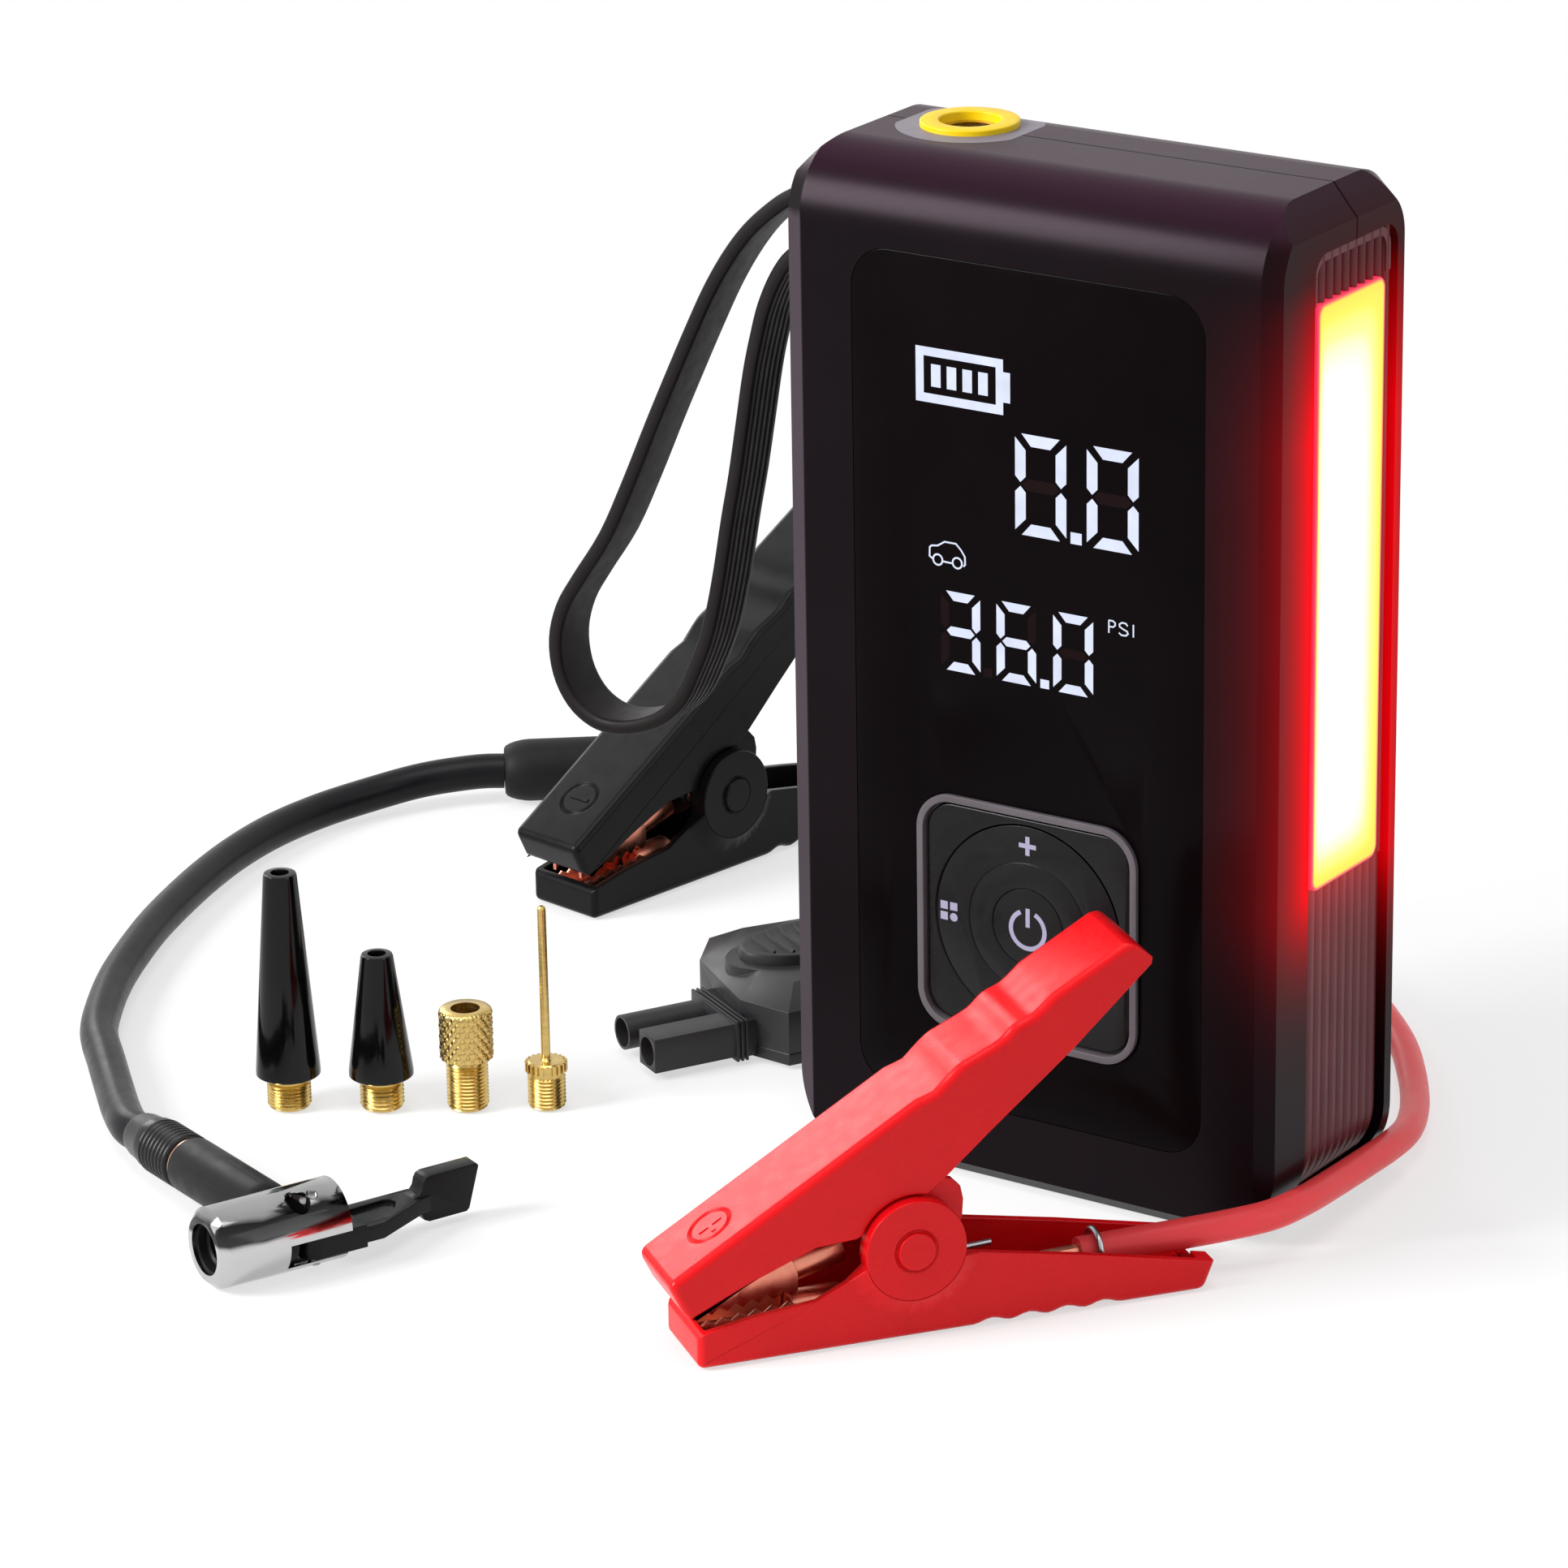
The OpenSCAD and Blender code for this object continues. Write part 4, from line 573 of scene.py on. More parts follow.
barrel_from = in_chuck(17, 1.2, 0)
barrel_way = in_chuck(17, 56.2, -2.2) - barrel_from
chuck_cuff = turned("chuck_cuff_ribbed", barrel_from, barrel_way,
                    [(36.75, 1), (36.75, 4.4), (37, 4.95)] + ridged(37.4, 47.8, 4.75, 0.42, 8)
                    + [(49, 4.9), (50, 4.6), (53.6, 4.3), (54.9, 4.0), (54.9, 1)], cuff_gloss)
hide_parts("chuck_cuff")
chuck_ring = turned("chuck_ring_turned", barrel_from, barrel_way,
                    [(35.55, 3.7), (35.55, 4.5), (35.8, 4.75), (36.4, 4.75), (36.7, 4.5), (36.7, 3.7)], rose_gold)
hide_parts("chuck_ring")
bevelled("chuck_barrel", 0.5, chuck_black)
bevelled("chuck_sleeve", 0.18, sleeve_painted_reflection(), 2, 30)
bevelled("chuck_lever", 0.45, lever_black)
turned("valve_thread", in_chuck(0, 0, 0), in_chuck(1, 0, 0) - in_chuck(0, 0, 0),
       [(2.5, 4.15)] + [(2.5 + 0.4 * i, 3.45 if i % 2 else 3.9) for i in range(26)] + [(12.9, 4.15)], chuck_black)

# %% [markdown]
# The nozzles stand in a row. Two tapered ones are glossy black plastic on brass threads, the
# valve adapter has a knurled brass head, and the needle for balls has a toothed collar. A
# thread seen from outside is a row of fine ridges, and a knurl is two sets of slanting grooves
# that cross, which is easy to write as the product of two waves.

# %% The nozzles
TALL, SHORT, ADAPTER, NEEDLE = (-136, -60.4), (-121.3, -51.7), (-107.9, -43.4), (-95.8, -35.5)
UP = (0, 0, 1)


def thread(low, high, radius, depth=0.38, pitch=0.72):
    """Crests and roots of a thread seen as ridges"""
    steps = 2 * round((high - low) / pitch)
    return [(low + (high - low) * i / steps, radius if i % 2 else radius - depth) for i in range(steps + 1)]


for name, at, height in (("tall", TALL, 6.3), ("short", SHORT, 6.2)):
    base = turned(name + "_thread", (*at, 0), UP, [(0, 1.4), (0, 3.4), (0.3, 3.75)] + thread(0.5, height - 1.1, 4.05)
                  + [(height - 0.9, 3.7), (height - 0.7, 4.4), (height - 0.02, 4.4), (height - 0.02, 1.4)], brass)
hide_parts("nozzle_bases")
for name, node, at, low, high, radius in (("tall_cone", "tall_nozzle", TALL, 6.3, 45.6, 3.05),
                                          ("short_cone", "short_nozzle", SHORT, 6.2, 30, 2.95)):
    cone = turned(name, (*at, 0), UP,
                  [(low, 1.45), (low, 5.6), (low + 0.3, 5.95), (low + 1.2, 5.95), (high - 0.5, radius + 0.03),
                   (high - 0.1, radius - 0.15), (high, radius - 0.5), (high, 1.7), (high - 1, 1.45)], nozzle_black)
    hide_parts(node)


def knurled_head(at, low, high, radius):
    """A cylinder with crossing slanted grooves, closed at both ends round a bore"""
    count, rows, points = 144, 40, []
    rings = [(low, 1.6, 0), (low, radius - 0.5, 0)]
    rings += [(low + 0.35 + (high - low - 0.7) * i / rows, radius, 1) for i in range(rows + 1)]
    rings += [(high, radius - 0.5, 0), (high, 2.7, 0), (high - 6, 2.6, 0), (high - 6, 1.6, 0)]
    for z, r, cut in rings:
        for k in range(count):
            angle = math.tau * k / count
            wave = abs(math.sin(9 * angle + z * 1.45)) * abs(math.sin(9 * angle - z * 1.45))
            out = r - (0.42 * (1 - wave ** 0.5) if cut else 0)
            points.append((at[0] + out * math.cos(angle), at[1] + out * math.sin(angle), z))
    return points, hoops(len(rings), count, True)


adapter = turned("adapter_thread", (*ADAPTER, 0), UP,
                 [(0, 1.4), (0, 3.3), (0.3, 3.6)] + thread(0.5, 8.9, 3.85)
                 + [(9.2, 3.4), (9.6, 3.4), (9.6, 1.4)], brass)
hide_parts("valve_adapter")
add_piece("adapter_head", *knurled_head(ADAPTER, 9.6, 19.3, 5), brass, sharp=60)
needle = turned("needle_thread", (*NEEDLE, 0), UP,
                [(0, 0.7), (0, 3.0), (0.3, 3.3)] + thread(0.5, 6.2, 3.5, 0.34, 0.7)
                + [(6.6, 3.1), (7, 3.1), (7, 3.5), (8.7, 3.5), (9, 3.1), (9, 1.3), (9.5, 0.85), (38.2, 0.8),
                   (38.7, 0.72), (39, 0.5), (39, 0.3), (37, 0.3), (37, 0.7)], brass)
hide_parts("ball_needle")

# %% [markdown]
# The needle's collar has short upright teeth all round, and a cog of equal teeth is a job for
# Geometry Nodes: one tooth, a ring of points to stand it on, and the instances made real. Its
# count and sizes are inputs, so it suits anything that repeats about an upright axis.

# %% Geometry Nodes: teeth round a collar
def new_tree(name, **inputs):
    """An empty tree with named inputs, each a kind and a first value"""
    tree = bpy.data.node_groups.new(name, "GeometryNodeTree")
    for label, (kind, value) in inputs.items():
        entry = tree.interface.new_socket(label, in_out="INPUT", socket_type="NodeSocket" + kind)
        if value is not None:
            entry.default_value = value
    tree.interface.new_socket("Geometry", in_out="OUTPUT", socket_type="NodeSocketGeometry")
    nodes = Nodes(tree)
    return nodes, nodes.add("NodeGroupInput").outputs


def copies(nodes, given, points, shape, rotation=None):
    """Ends a tree: stands a shape on points, and makes the copies real and painted"""
    stand = nodes.add("GeometryNodeInstanceOnPoints", Points=points, Instance=shape, Rotation=rotation)
    real = nodes.add("GeometryNodeRealizeInstances", stand)
    nodes.add("NodeGroupOutput", nodes.add("GeometryNodeSetMaterial", real, Material=given["Material"]))
    return nodes.tree


def grow(name, tree, material, values, at=(0, 0, 0)):
    """Runs a tree on an empty mesh and keeps the result as a plain mesh"""
    piece = placed(name, bpy.data.meshes.new(name))
    modifier = piece.modifiers.new("grow", "NODES")
    modifier.node_group = tree
    names = {s.name: s.identifier for s in tree.interface.items_tree if s.in_out == "INPUT"}
    for label, value in {**values, "Material": material}.items():
        modifier[names[label]] = value
    apply_modifiers(piece)
    piece.data.transform(Matrix.Translation(Vector(at) * MM))
    return dress(piece, material)


def tooth_ring_tree():
    nodes, given = new_tree("tooth_ring", Count=("Int", 24), Radius=("Float", 0.0035), Width=("Float", 0.0005),
                            Depth=("Float", 0.0004), Height=("Float", 0.0017), Material=("Material", None))
    ring = nodes.add("GeometryNodeMeshCircle", Vertices=given["Count"], Radius=given["Radius"])
    size = nodes.add("ShaderNodeCombineXYZ", given["Depth"], given["Width"], given["Height"])
    facing = nodes.add("FunctionNodeAlignRotationToVector", settings={"axis": "X", "pivot_axis": "Z"},
                       Vector=nodes.add("GeometryNodeInputPosition"))
    return copies(nodes, given, ring, nodes.add("GeometryNodeMeshCube", Size=size), facing)


grow("needle_teeth", tooth_ring_tree(), brass,
     {"Count": 22, "Radius": 0.0036, "Width": 0.0005, "Depth": 0.0006, "Height": 0.0018}, at=(*NEEDLE, 7.9))

# %% [markdown]
# The ribbed side. Each rib is a half-round bar that runs up the side and curls under the
# bottom corner, so it is one profile swept along one path, copied at a fixed pitch. The tree
# takes the path as an object, sweeps the profile, and sets the copies along a line.

# %% Geometry Nodes: the ribs of the side
def rib_tree():
    nodes, given = new_tree("ribs", Path=("Object", None), Count=("Int", 10), Pitch=("Float", 0.00275),
                            Width=("Float", 0.00175), Height=("Float", 0.0017), Material=("Material", None))
    path = nodes.add("GeometryNodeObjectInfo", Object=given["Path"]).outputs["Geometry"]
    profile = nodes.add("GeometryNodeCurvePrimitiveCircle", Resolution=14, Radius=0.5)
    size = nodes.add("ShaderNodeCombineXYZ", nodes.maths("MULTIPLY", given["Height"], 2), given["Width"], 1)
    shape = nodes.add("GeometryNodeTransform", Geometry=profile, Scale=size)
    bar = nodes.add("GeometryNodeCurveToMesh", Curve=path, Profile_Curve=shape, Fill_Caps=True)
    step = nodes.add("ShaderNodeCombineXYZ", Y=given["Pitch"])
    return copies(nodes, given, nodes.add("GeometryNodeMeshLine", Count=given["Count"], Offset=step), bar)


def arc(cx, cy, radius, first=0, last=360, steps=24):
    """Points round part of a circle, its ends in degrees"""
    angles = [math.radians(first + (last - first) * k / steps) for k in range(steps + 1)]
    return [(cx + radius * math.cos(a), cy + radius * math.sin(a)) for a in angles]


CORNER = 13.5  # radius of the case's bottom corner


def side_path(low, high, inset):
    """The side's outline in X and Z at a given depth, round the bottom corner where it starts low"""
    if low < CORNER:
        first = math.degrees(math.asin(min(1, (CORNER - low) / (CORNER - inset))))
        return arc(SIDE_X - CORNER, CORNER, CORNER - inset, -first, 0, 12) + [(SIDE_X - inset, high)]
    return [(SIDE_X - inset, low), (SIDE_X - inset, high)]


RIB_PITCH, RIB_WIDE, RIB_DEEP, FIRST_RIB_Y = 2.75, 1.75, 2.0, -10.9
ribs = rib_tree()
for name, count, first, low, high, width in (("ribs_below", 10, 0, 4.1, 61.9, RIB_WIDE),
                                             ("ribs_above", 10, 0, 166.0, 174.6, RIB_WIDE),
                                             ("rib_behind", 1, 9, 61.9, 166.0, RIB_WIDE),
                                             ("rib_before", 1, 0, 61.9, 166.0, 0.9)):
    line = bpy.data.curves.new("rib_path", "CURVE")
    line.dimensions = "3D"
    spline = line.splines.new("POLY")
    way = side_path(low, high, RIB_DEEP)
    spline.points.add(len(way) - 1)
    for point, (x, z) in zip(spline.points, way):
        point.co = (x * MM, 0, z * MM, 1)
    guide = placed("rib_guide", line)
    grown = grow(name, ribs, rib_maroon, {"Path": guide, "Count": count, "Pitch": RIB_PITCH * MM, "Width": width * MM,
                                          "Height": 0.0017}, at=(0, FIRST_RIB_Y + RIB_PITCH * first + width / 2, 0))
    bpy.data.objects.remove(guide)
    print(name, len(grown.data.polygons), "faces")


def strip(outer, inner, ends, place):
    """A closed bar between two lines of points, from one end to the other"""
    ring, m, n = outer + inner[::-1], len(outer), 2 * len(outer)
    points = [place(a, b, end) for end in ends for a, b in ring]
    faces = hoops(2, n)[:-2]
    faces += [(o + i, o + i + 1, o + n - 2 - i, o + n - 1 - i) for o in (0, n) for i in range(m - 1)]
    return points, faces


def side_floor():
    """The plate behind the ribs, a thin sheet that follows the same outline"""
    outer, inner = (side_path(3, 176.5, inset) for inset in (RIB_DEEP, 3.2))
    return strip(outer, inner, (-12.9, 19.3), lambda x, z, y: (x, y, z))


def rib_border():
    """The strip that joins the ribs along the top of the recess, round its two corners"""
    outer = [(-10.85, 166.5), (-10.85, 170.65)] + arc(-6.9, 170.7, 3.95, 180, 90, 9) \
        + arc(11.65, 170.7, 3.95, 90, 0, 9) + [(15.6, 166.5)]
    inner = []
    for i, at in enumerate(outer):
        ahead = (Vector(outer[min(i + 1, len(outer) - 1)]) - Vector(outer[max(i - 1, 0)])).normalized()
        inner.append(tuple(Vector(at) + Vector((ahead.y, -ahead.x)) * 1.5))
    return strip(outer, inner, (46.9, 48.55), lambda y, z, x: (x, y, z))


add_piece("rib_border", *rib_border(), rib_maroon)
floor_plate = add_piece("side_floor", *side_floor(), rib_maroon)
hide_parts("side_grille")

# %% [markdown]
# The lamp is a frosted bar that is lit from behind. It is white in the middle, turns yellow
# near its edge and magenta at the rim. The rim goes by the distance to the outline, the same
# measure that tints the case, and the yellow by a ramp over how near each edge is.

# %% The lamp
def lamp_finish():
    finish = Finish("lamp_lit")
    maths = finish.maths
    distance, parts = from_lamp(finish)
    # How white the light is: each edge turns it yellow over its own reach, in millimetres
    white = 1.0
    for axis, edge, way, reach in (("Y", LAMP_Y[0], 1, 0.7), ("Y", LAMP_Y[1], -1, 2.3), ("Z", LAMP_Z[0], 1, 3.0),
                                   ("Z", LAMP_Z[1], -1, 4.5)):
        depth = maths("SUBTRACT", parts[axis], edge * MM)
        white = maths("MULTIPLY", maths("SUBTRACT", 1.0, finish.fade(depth, way * reach * MM)), white)
    bands = ((0.0, (253, 214, 8)), (0.55, (253, 238, 50)), (0.8, (254, 252, 140)), (0.92, (255, 254, 226)),
             (0.97, (255, 255, 255)))
    light = finish.ramp(white, [(position, tone(*colour)) for position, colour in bands])
    rim = finish.spread(distance, 0, 1, -0.001, -0.0004)
    finish.surface(Base_Color=(0.05, 0.05, 0.05, 1), Roughness=0.4, Emission_Strength=1.0,
                   Emission_Color=finish.mixed(rim, light, tone(246, 28, 74)))
    return finish.grain(0.6, 6)


lamp_lit = lamp_finish()


def rounded_outline(x0, y0, x1, y1, radius):
    corners = ((x1 - radius, y1 - radius, 0), (x0 + radius, y1 - radius, 90), (x0 + radius, y0 + radius, 180),
               (x1 - radius, y0 + radius, 270))
    return [at for cx, cy, first in corners for at in arc(cx, cy, radius, first, first + 90, 8)]


def lens():
    """Rings of the lens from its seat to its slightly crowned face"""
    points, rings = [], ((46.0, 0.1), (48.7, 0.1), (48.9, 0.22), (48.98, 0.6), (48.99, 2.2))
    for x, inset in rings:
        points += [(x, y, z) for y, z in rounded_outline(LAMP_Y[0] + inset, LAMP_Z[0] + inset, LAMP_Y[1] - inset,
                                                         LAMP_Z[1] - inset, max(0.4, LAMP_CORNER - inset))]
    return points, hoops(len(rings), len(points) // len(rings))


lens_piece = add_piece("lamp_face", *lens(), lamp_lit)
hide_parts("lamp_lens")

# %% [markdown]
# The window is black gloss. The display's figures glow through it, so each is a thin sheet of
# light just proud of the glass: straight-edged segments with slanted ends, as on any
# seven-segment display, plus a battery, a small car and the pressure unit.

# %% The window and its lit figures
def window_finish():
    finish = Finish("window_gloss")
    finish.surface(Base_Color=finish.drift(30, tone(7, 4, 5), tone(10, 6, 7)), Specular_IOR_Level=0.03,
                   Roughness=finish.spread(finish.noise(120, 3), 0.16, 0.22))
    return finish.grain(6, 1)


def lit_finish(name, colour, strength):
    finish = Finish(name)
    dimmer = [c * 0.86 for c in tone(*colour)[:3]] + [1]
    finish.surface(Base_Color=(0.02, 0.02, 0.02, 1), Emission_Strength=strength,
                   Emission_Color=finish.drift(220, dimmer, tone(*colour)))
    return finish.material


window_gloss = window_finish()
lit_white = lit_finish("lit_white", (224, 232, 255), 1.0)
unlit = moulded("unlit_segment", (22, 11, 12), 0.4, level=0.03)
use(window_gloss, "display_window")
bevelled("display_window", 0.25, window_gloss, 2)


def sheet_of(name, shapes, material, y=-23.0, proud=0.03, body="root", sunk=0.1):
    """Flat shapes, given as outlines in X and Z, as one thin closed sheet on a face that looks forward"""
    corners, tops = {}, []
    for outline in shapes:
        turn = sum(x0 * z1 - x1 * z0 for (x0, z0), (x1, z1) in zip(outline, outline[1:] + outline[:1]))
        tops.append([corners.setdefault((round(x, 3), round(z, 3)), len(corners))
                     for x, z in outline[::1 if turn > 0 else -1]])
    n = len(corners)
    points = [(x, y - proud, z) for x, z in corners] + [(x, y + sunk, z) for x, z in corners]
    sides = {(face[i - 1], face[i]) for face in tops for i in range(len(face))}
    faces = tops + [[k + n for k in reversed(face)] for face in tops]
    faces += [(b, a, a + n, b + n) for a, b in sides if (b, a) not in sides]
    return add_piece(name, points, faces, material, body)


def segments(x0, z0, width, height, bar, gap=0.35):
    """The seven segments of one figure: top, upper left, upper right, middle, lower left, lower right, bottom"""
    x1, z1, zm, g, b = x0 + width, z0 + height, z0 + height / 2, gap, bar
    slant, left, right = b * 0.9, x0 + g + b * 0.45, x1 - g - b * 0.45
    top_bar = [(left, z1), (right, z1), (right - slant, z1 - b), (left + slant, z1 - b)]
    bottom_bar = [(x, 2 * zm - z) for x, z in top_bar]
    upper_left = [(x0, z1 - g - b * 0.2), (x0 + b, z1 - g - b * 1.2), (x0 + b, zm + g + b * 0.5),
                  (x0 + b / 2, zm + g), (x0, zm + g + b * 0.5)]
    lower_left = [(x, 2 * zm - z) for x, z in upper_left]
    upper_right = [(x0 + x1 - x, z) for x, z in upper_left]
    lower_right = [(x0 + x1 - x, z) for x, z in lower_left]
    middle = [(x0 + g + b * 0.5, zm), (x0 + g + b, zm + b / 2), (x1 - g - b, zm + b / 2), (x1 - g - b * 0.5, zm),
              (x1 - g - b, zm - b / 2), (x0 + g + b, zm - b / 2)]
    return [top_bar, upper_left, upper_right, middle, lower_left, lower_right, bottom_bar]


FIGURES = {"0": (0, 1, 2, 4, 5, 6), "3": (0, 2, 3, 5, 6), "6": (0, 1, 3, 4, 5, 6)}
lit, dark = [], []
for figure, x, z, width, height, bar in (("0", -2.15, 121.85, 10.2, 18.0, 2.1), ("0", 12.12, 121.85, 10.2, 18.0, 2.1),
                                         ("3", -17.35, 94.8, 8.0, 14.4, 1.65), ("6", -6.05, 94.8, 8.0, 14.4, 1.65),
                                         ("0", 5.38, 94.8, 8.0, 14.4, 1.65)):
    for k, outline in enumerate(segments(x, z, width, height, bar)):
        (lit if k in FIGURES[figure] else dark).append(outline)


def box_shape(x0, z0, x1, z1):
    return [(x0, z0), (x1, z0), (x1, z1), (x0, z1)]


# Two points, then the battery's four walls, its cap and its four bars
for box in ((8.9, 121.85, 11.1, 123.9), (2.8, 94.85, 4.55, 96.45), (-22.1, 142.5, -4.5, 144.1),
            (-22.1, 150.75, -4.5, 152.3), (-22.1, 144.1, -20.5, 150.75), (-5.95, 144.1, -4.5, 150.75),
            (-4.5, 144.75, -3.1, 150.1)):
    lit.append(box_shape(*box))
lit += [box_shape(-18.98 + 3.17 * i, 145.4, -17.08 + 3.17 * i, 149.4) for i in range(4)]
dark.append(box_shape(-8.65, 94.85, -6.9, 96.4))


def stroke(points, width, closed=False):
    """A line drawn with a given width, as quads that share their corners"""
    line = [Vector(p) for p in points]
    closed = closed or (line[0] - line[-1]).length < 1e-6
    if closed and (line[0] - line[-1]).length < 1e-6:
        line = line[:-1]
    n, pairs = len(line), []
    for i, at in enumerate(line):
        before = line[i - 1] if closed or i else at
        after = line[(i + 1) % n] if closed or i < n - 1 else at
        way_in = (at - before).normalized() if before != at else (after - at).normalized()
        way_out = (after - at).normalized() if after != at else way_in
        middle = (way_in + way_out).normalized()
        reach = width / 2 / max(0.5, middle.dot(way_in))
        side = Vector((-middle.y, middle.x)) * reach
        pairs.append((tuple(at + side), tuple(at - side)))
    count = n if closed else n - 1
    return [[pairs[i][0], pairs[i][1], pairs[(i + 1) % n][1], pairs[(i + 1) % n][0]] for i in range(count)]


car = [(-19.0, 114.55), (-19.6, 114.9), (-19.55, 116.5), (-19.2, 116.85), (-17.9, 117.05), (-16.5, 117.95),
       (-14.2, 117.95), (-13.2, 117.0), (-12.4, 115.9), (-12.35, 114.5), (-12.7, 114.1)]
lit += stroke(car, 0.3) + stroke([(-16.95, 114.35), (-14.95, 114.3)], 0.3)
for wheel in (-17.92, -13.95):
    lit += stroke(arc(wheel, 114.5, 0.95), 0.32)
pressure_unit = [[(16.5, 107.2), (16.5, 109.45)],
                 [(16.5, 109.45), (17.3, 109.45), (17.75, 109.15), (17.75, 108.7), (17.3, 108.35), (16.5, 108.35)],
                 [(20.2, 109.0), (19.9, 109.4), (19.1, 109.45), (18.6, 109.1), (18.65, 108.65), (19.4, 108.3),
                  (20.1, 108.05), (20.3, 107.65), (19.9, 107.25), (19.0, 107.2), (18.5, 107.55)],
                 [(21.35, 107.2), (21.35, 109.45)]]
for line in pressure_unit:
    lit += stroke(line, 0.27)
sheet_of("display_lit", lit, lit_white)
sheet_of("display_unlit", dark, unlit, proud=0.015)

# %% [markdown]
# The control pad: a satin grey rim, a glossy plate with a rolled edge, and one four-way ring
# round the power button. Fine turned grooves part the ring, and the symbols are pale lavender
# prints. Symbols ride on the piece they are printed on.

# %% The control pad
def pad_gloss_finish():
    finish = Finish("pad_gloss")
    finish.surface(Base_Color=finish.drift(60, tone(9, 7, 9), tone(13, 11, 13)), Specular_IOR_Level=0.2,
                   Roughness=finish.spread(finish.noise(500, 3), 0.24, 0.32))
    return finish.grain(0.5, 3)


pad_gloss = pad_gloss_finish()
rim_satin = moulded("rim_satin", (86, 81, 86), 0.34, 0.25, 5)
bevelled("pad_bezel", 0.35, rim_satin)
bevelled("pad_plate", 0.45, pad_gloss)
bevelled("menu_ring", 0.14, pad_gloss, 2)
bevelled("power_button", 0.3, pad_gloss)
print_lavender = moulded("print_lavender", (150, 146, 172), 0.45, 0.3, 2, 0.05)
KEY = -22.9
marks = []
for mark in (((-1.75, 65.2), (1.75, 65.2)), ((0, 63.45), (0, 64.75)), ((0, 65.65), (0, 66.95))):
    marks += stroke(mark, 0.85)
marks += [box_shape(x, z, x + 1.5, z + 1.5) for x, z in ((-18.0, 50.2), (-16.0, 50.2), (-18.0, 48.2))]
marks.append(arc(-15.25, 48.95, 0.78, 0, 345, 23))
marks += stroke([(-1.75, 34.8), (1.75, 34.8)], 0.8)
marks += stroke(arc(16.3, 50, 1.0), 0.34)
for k in range(8):
    ray = Vector((math.cos(math.tau * k / 8), math.sin(math.tau * k / 8)))
    marks += stroke([tuple(Vector((16.3, 50)) + ray * reach) for reach in (1.55, 2.1)], 0.34)
sheet_of("ring_marks", marks, print_lavender, KEY, 0.02, "menu_ring", 0.05)
power_mark = stroke(arc(0, 49.6, 3.45, 115, 425, 32), 0.85) + stroke([(0, 50.1), (0, 53.6)], 0.85)
sheet_of("power_mark", power_mark, print_lavender, KEY, 0.02, "power_button", 0.05)

# %% [markdown]
# The clamps and the plug are moulded, so no edge on them is truly sharp. Their solids have the
# right forms, and a bevel on copies of them gives the rounded edges that catch the light. The
# polarity marks near the tips are raised from the face.

# %% The clamps
CLAMPS = {"red": ((-14, -110), 53), "black": ((-151.3, 47), 79.6)}


def in_clamp(colour, x, y, z):
    return turned_point(*CLAMPS[colour], x, y, z)


def turned_axes(x, y, z, degrees):
    """The axes of a part that lies turned on the floor, its origin in millimetres"""
    return Matrix.Translation(Vector((x, y, z)) * MM) @ Matrix.Rotation(math.radians(degrees), 4, "Z")


ARM_HALF_WIDE, UPPER_RISE = 8.75, 0.6184  # the rise is the upper arm's height gained per length


def on_wall(a, b):
    """Whether an edge, given by its ends, lies in one of the arm's side walls"""
    return all(abs(abs(end.y) - ARM_HALF_WIDE) < 0.03 for end in (a, b))


def lower_outline(a, b):
    return on_wall(a, b) and (max(a.z, b.z) < 3.2 or max(a.x, b.x) < 0.1 or min(a.x, b.x) > 90.9)


def upper_outline(a, b):
    above = min(a.z - UPPER_RISE * a.x, b.z - UPPER_RISE * b.x) > 14
    nose = max(a.x, b.x) < -1.9
    return (on_wall(a, b) and (above or nose)) or (max(a.x, b.x) < -4.9 and abs(a.y - b.y) > 10)


for colour, finish in (("red", handle_red), ("black", handle_black)):
    axes = turned_axes(*CLAMPS[colour][0], 0, CLAMPS[colour][1])
    edges_rounded(colour + "_lower_arm", finish, axes, [(1.3, 4, 28, lower_outline), (0.3, 2, 35, lambda a, b: True)])
    edges_rounded(colour + "_upper_arm", finish, axes, [(1.5, 4, 28, upper_outline), (0.3, 2, 35, lambda a, b: True)])
    bevelled(colour + "_upper_jaw", 0.12, copper, 2)
bevelled("lower_jaws", 0.12, copper, 2)


def polarity_mark(colour, material):
    """A raised sign on the slanting face near the jaw's tip"""
    slope, w, r = math.radians(31.1), 0.42, 2.3
    outline = [(-w, -r), (w, -r), (w, r), (-w, r)]
    if colour == "red":
        outline = [(-r, -w), (-w, -w), (-w, -r), (w, -r), (w, -w), (r, -w)]
        outline += [(-x, -y) for x, y in outline]
    points = [in_clamp(colour, 5.1 + x * math.cos(slope) - out * math.sin(slope), y,
                       22.1 + x * math.sin(slope) + out * math.cos(slope))
              for out in (-0.2, 0.16) for x, y in outline]
    add_piece(colour + "_polarity", points, hoops(2, len(outline)), material, colour + "_upper")


polarity_mark("red", handle_red)
polarity_mark("black", handle_black)

# %% [markdown]
# Each clamp closes by a coil of spring wire round its pin. The wire is one line, a straight
# leg and then a helix, swept with a small circle like a cord, but with the pin's own direction
# as the sweep's reference, so that the section doesn't roll as it winds.

# %% The clamp springs
def spring(colour):
    turns, radius, steps = 3.4, 4.2, 90
    line = [in_clamp(colour, 54, -3.1, 12.6), in_clamp(colour, 46, -3.1, 12.2)]
    for k in range(steps + 1):
        angle = math.radians(-72) + math.tau * turns * k / steps
        line.append(in_clamp(colour, 38 + radius * math.cos(angle), -3.06 + 6.12 * k / steps,
                             16.5 + radius * math.sin(angle)))
    pin = in_clamp(colour, 0, 1, 0) - in_clamp(colour, 0, 0, 0)
    piece = add_piece(colour + "_spring_wire", *sweep(line, circle(0.6, 10), pin), steel)
    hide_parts(colour + "_spring")


spring("red")
spring("black")

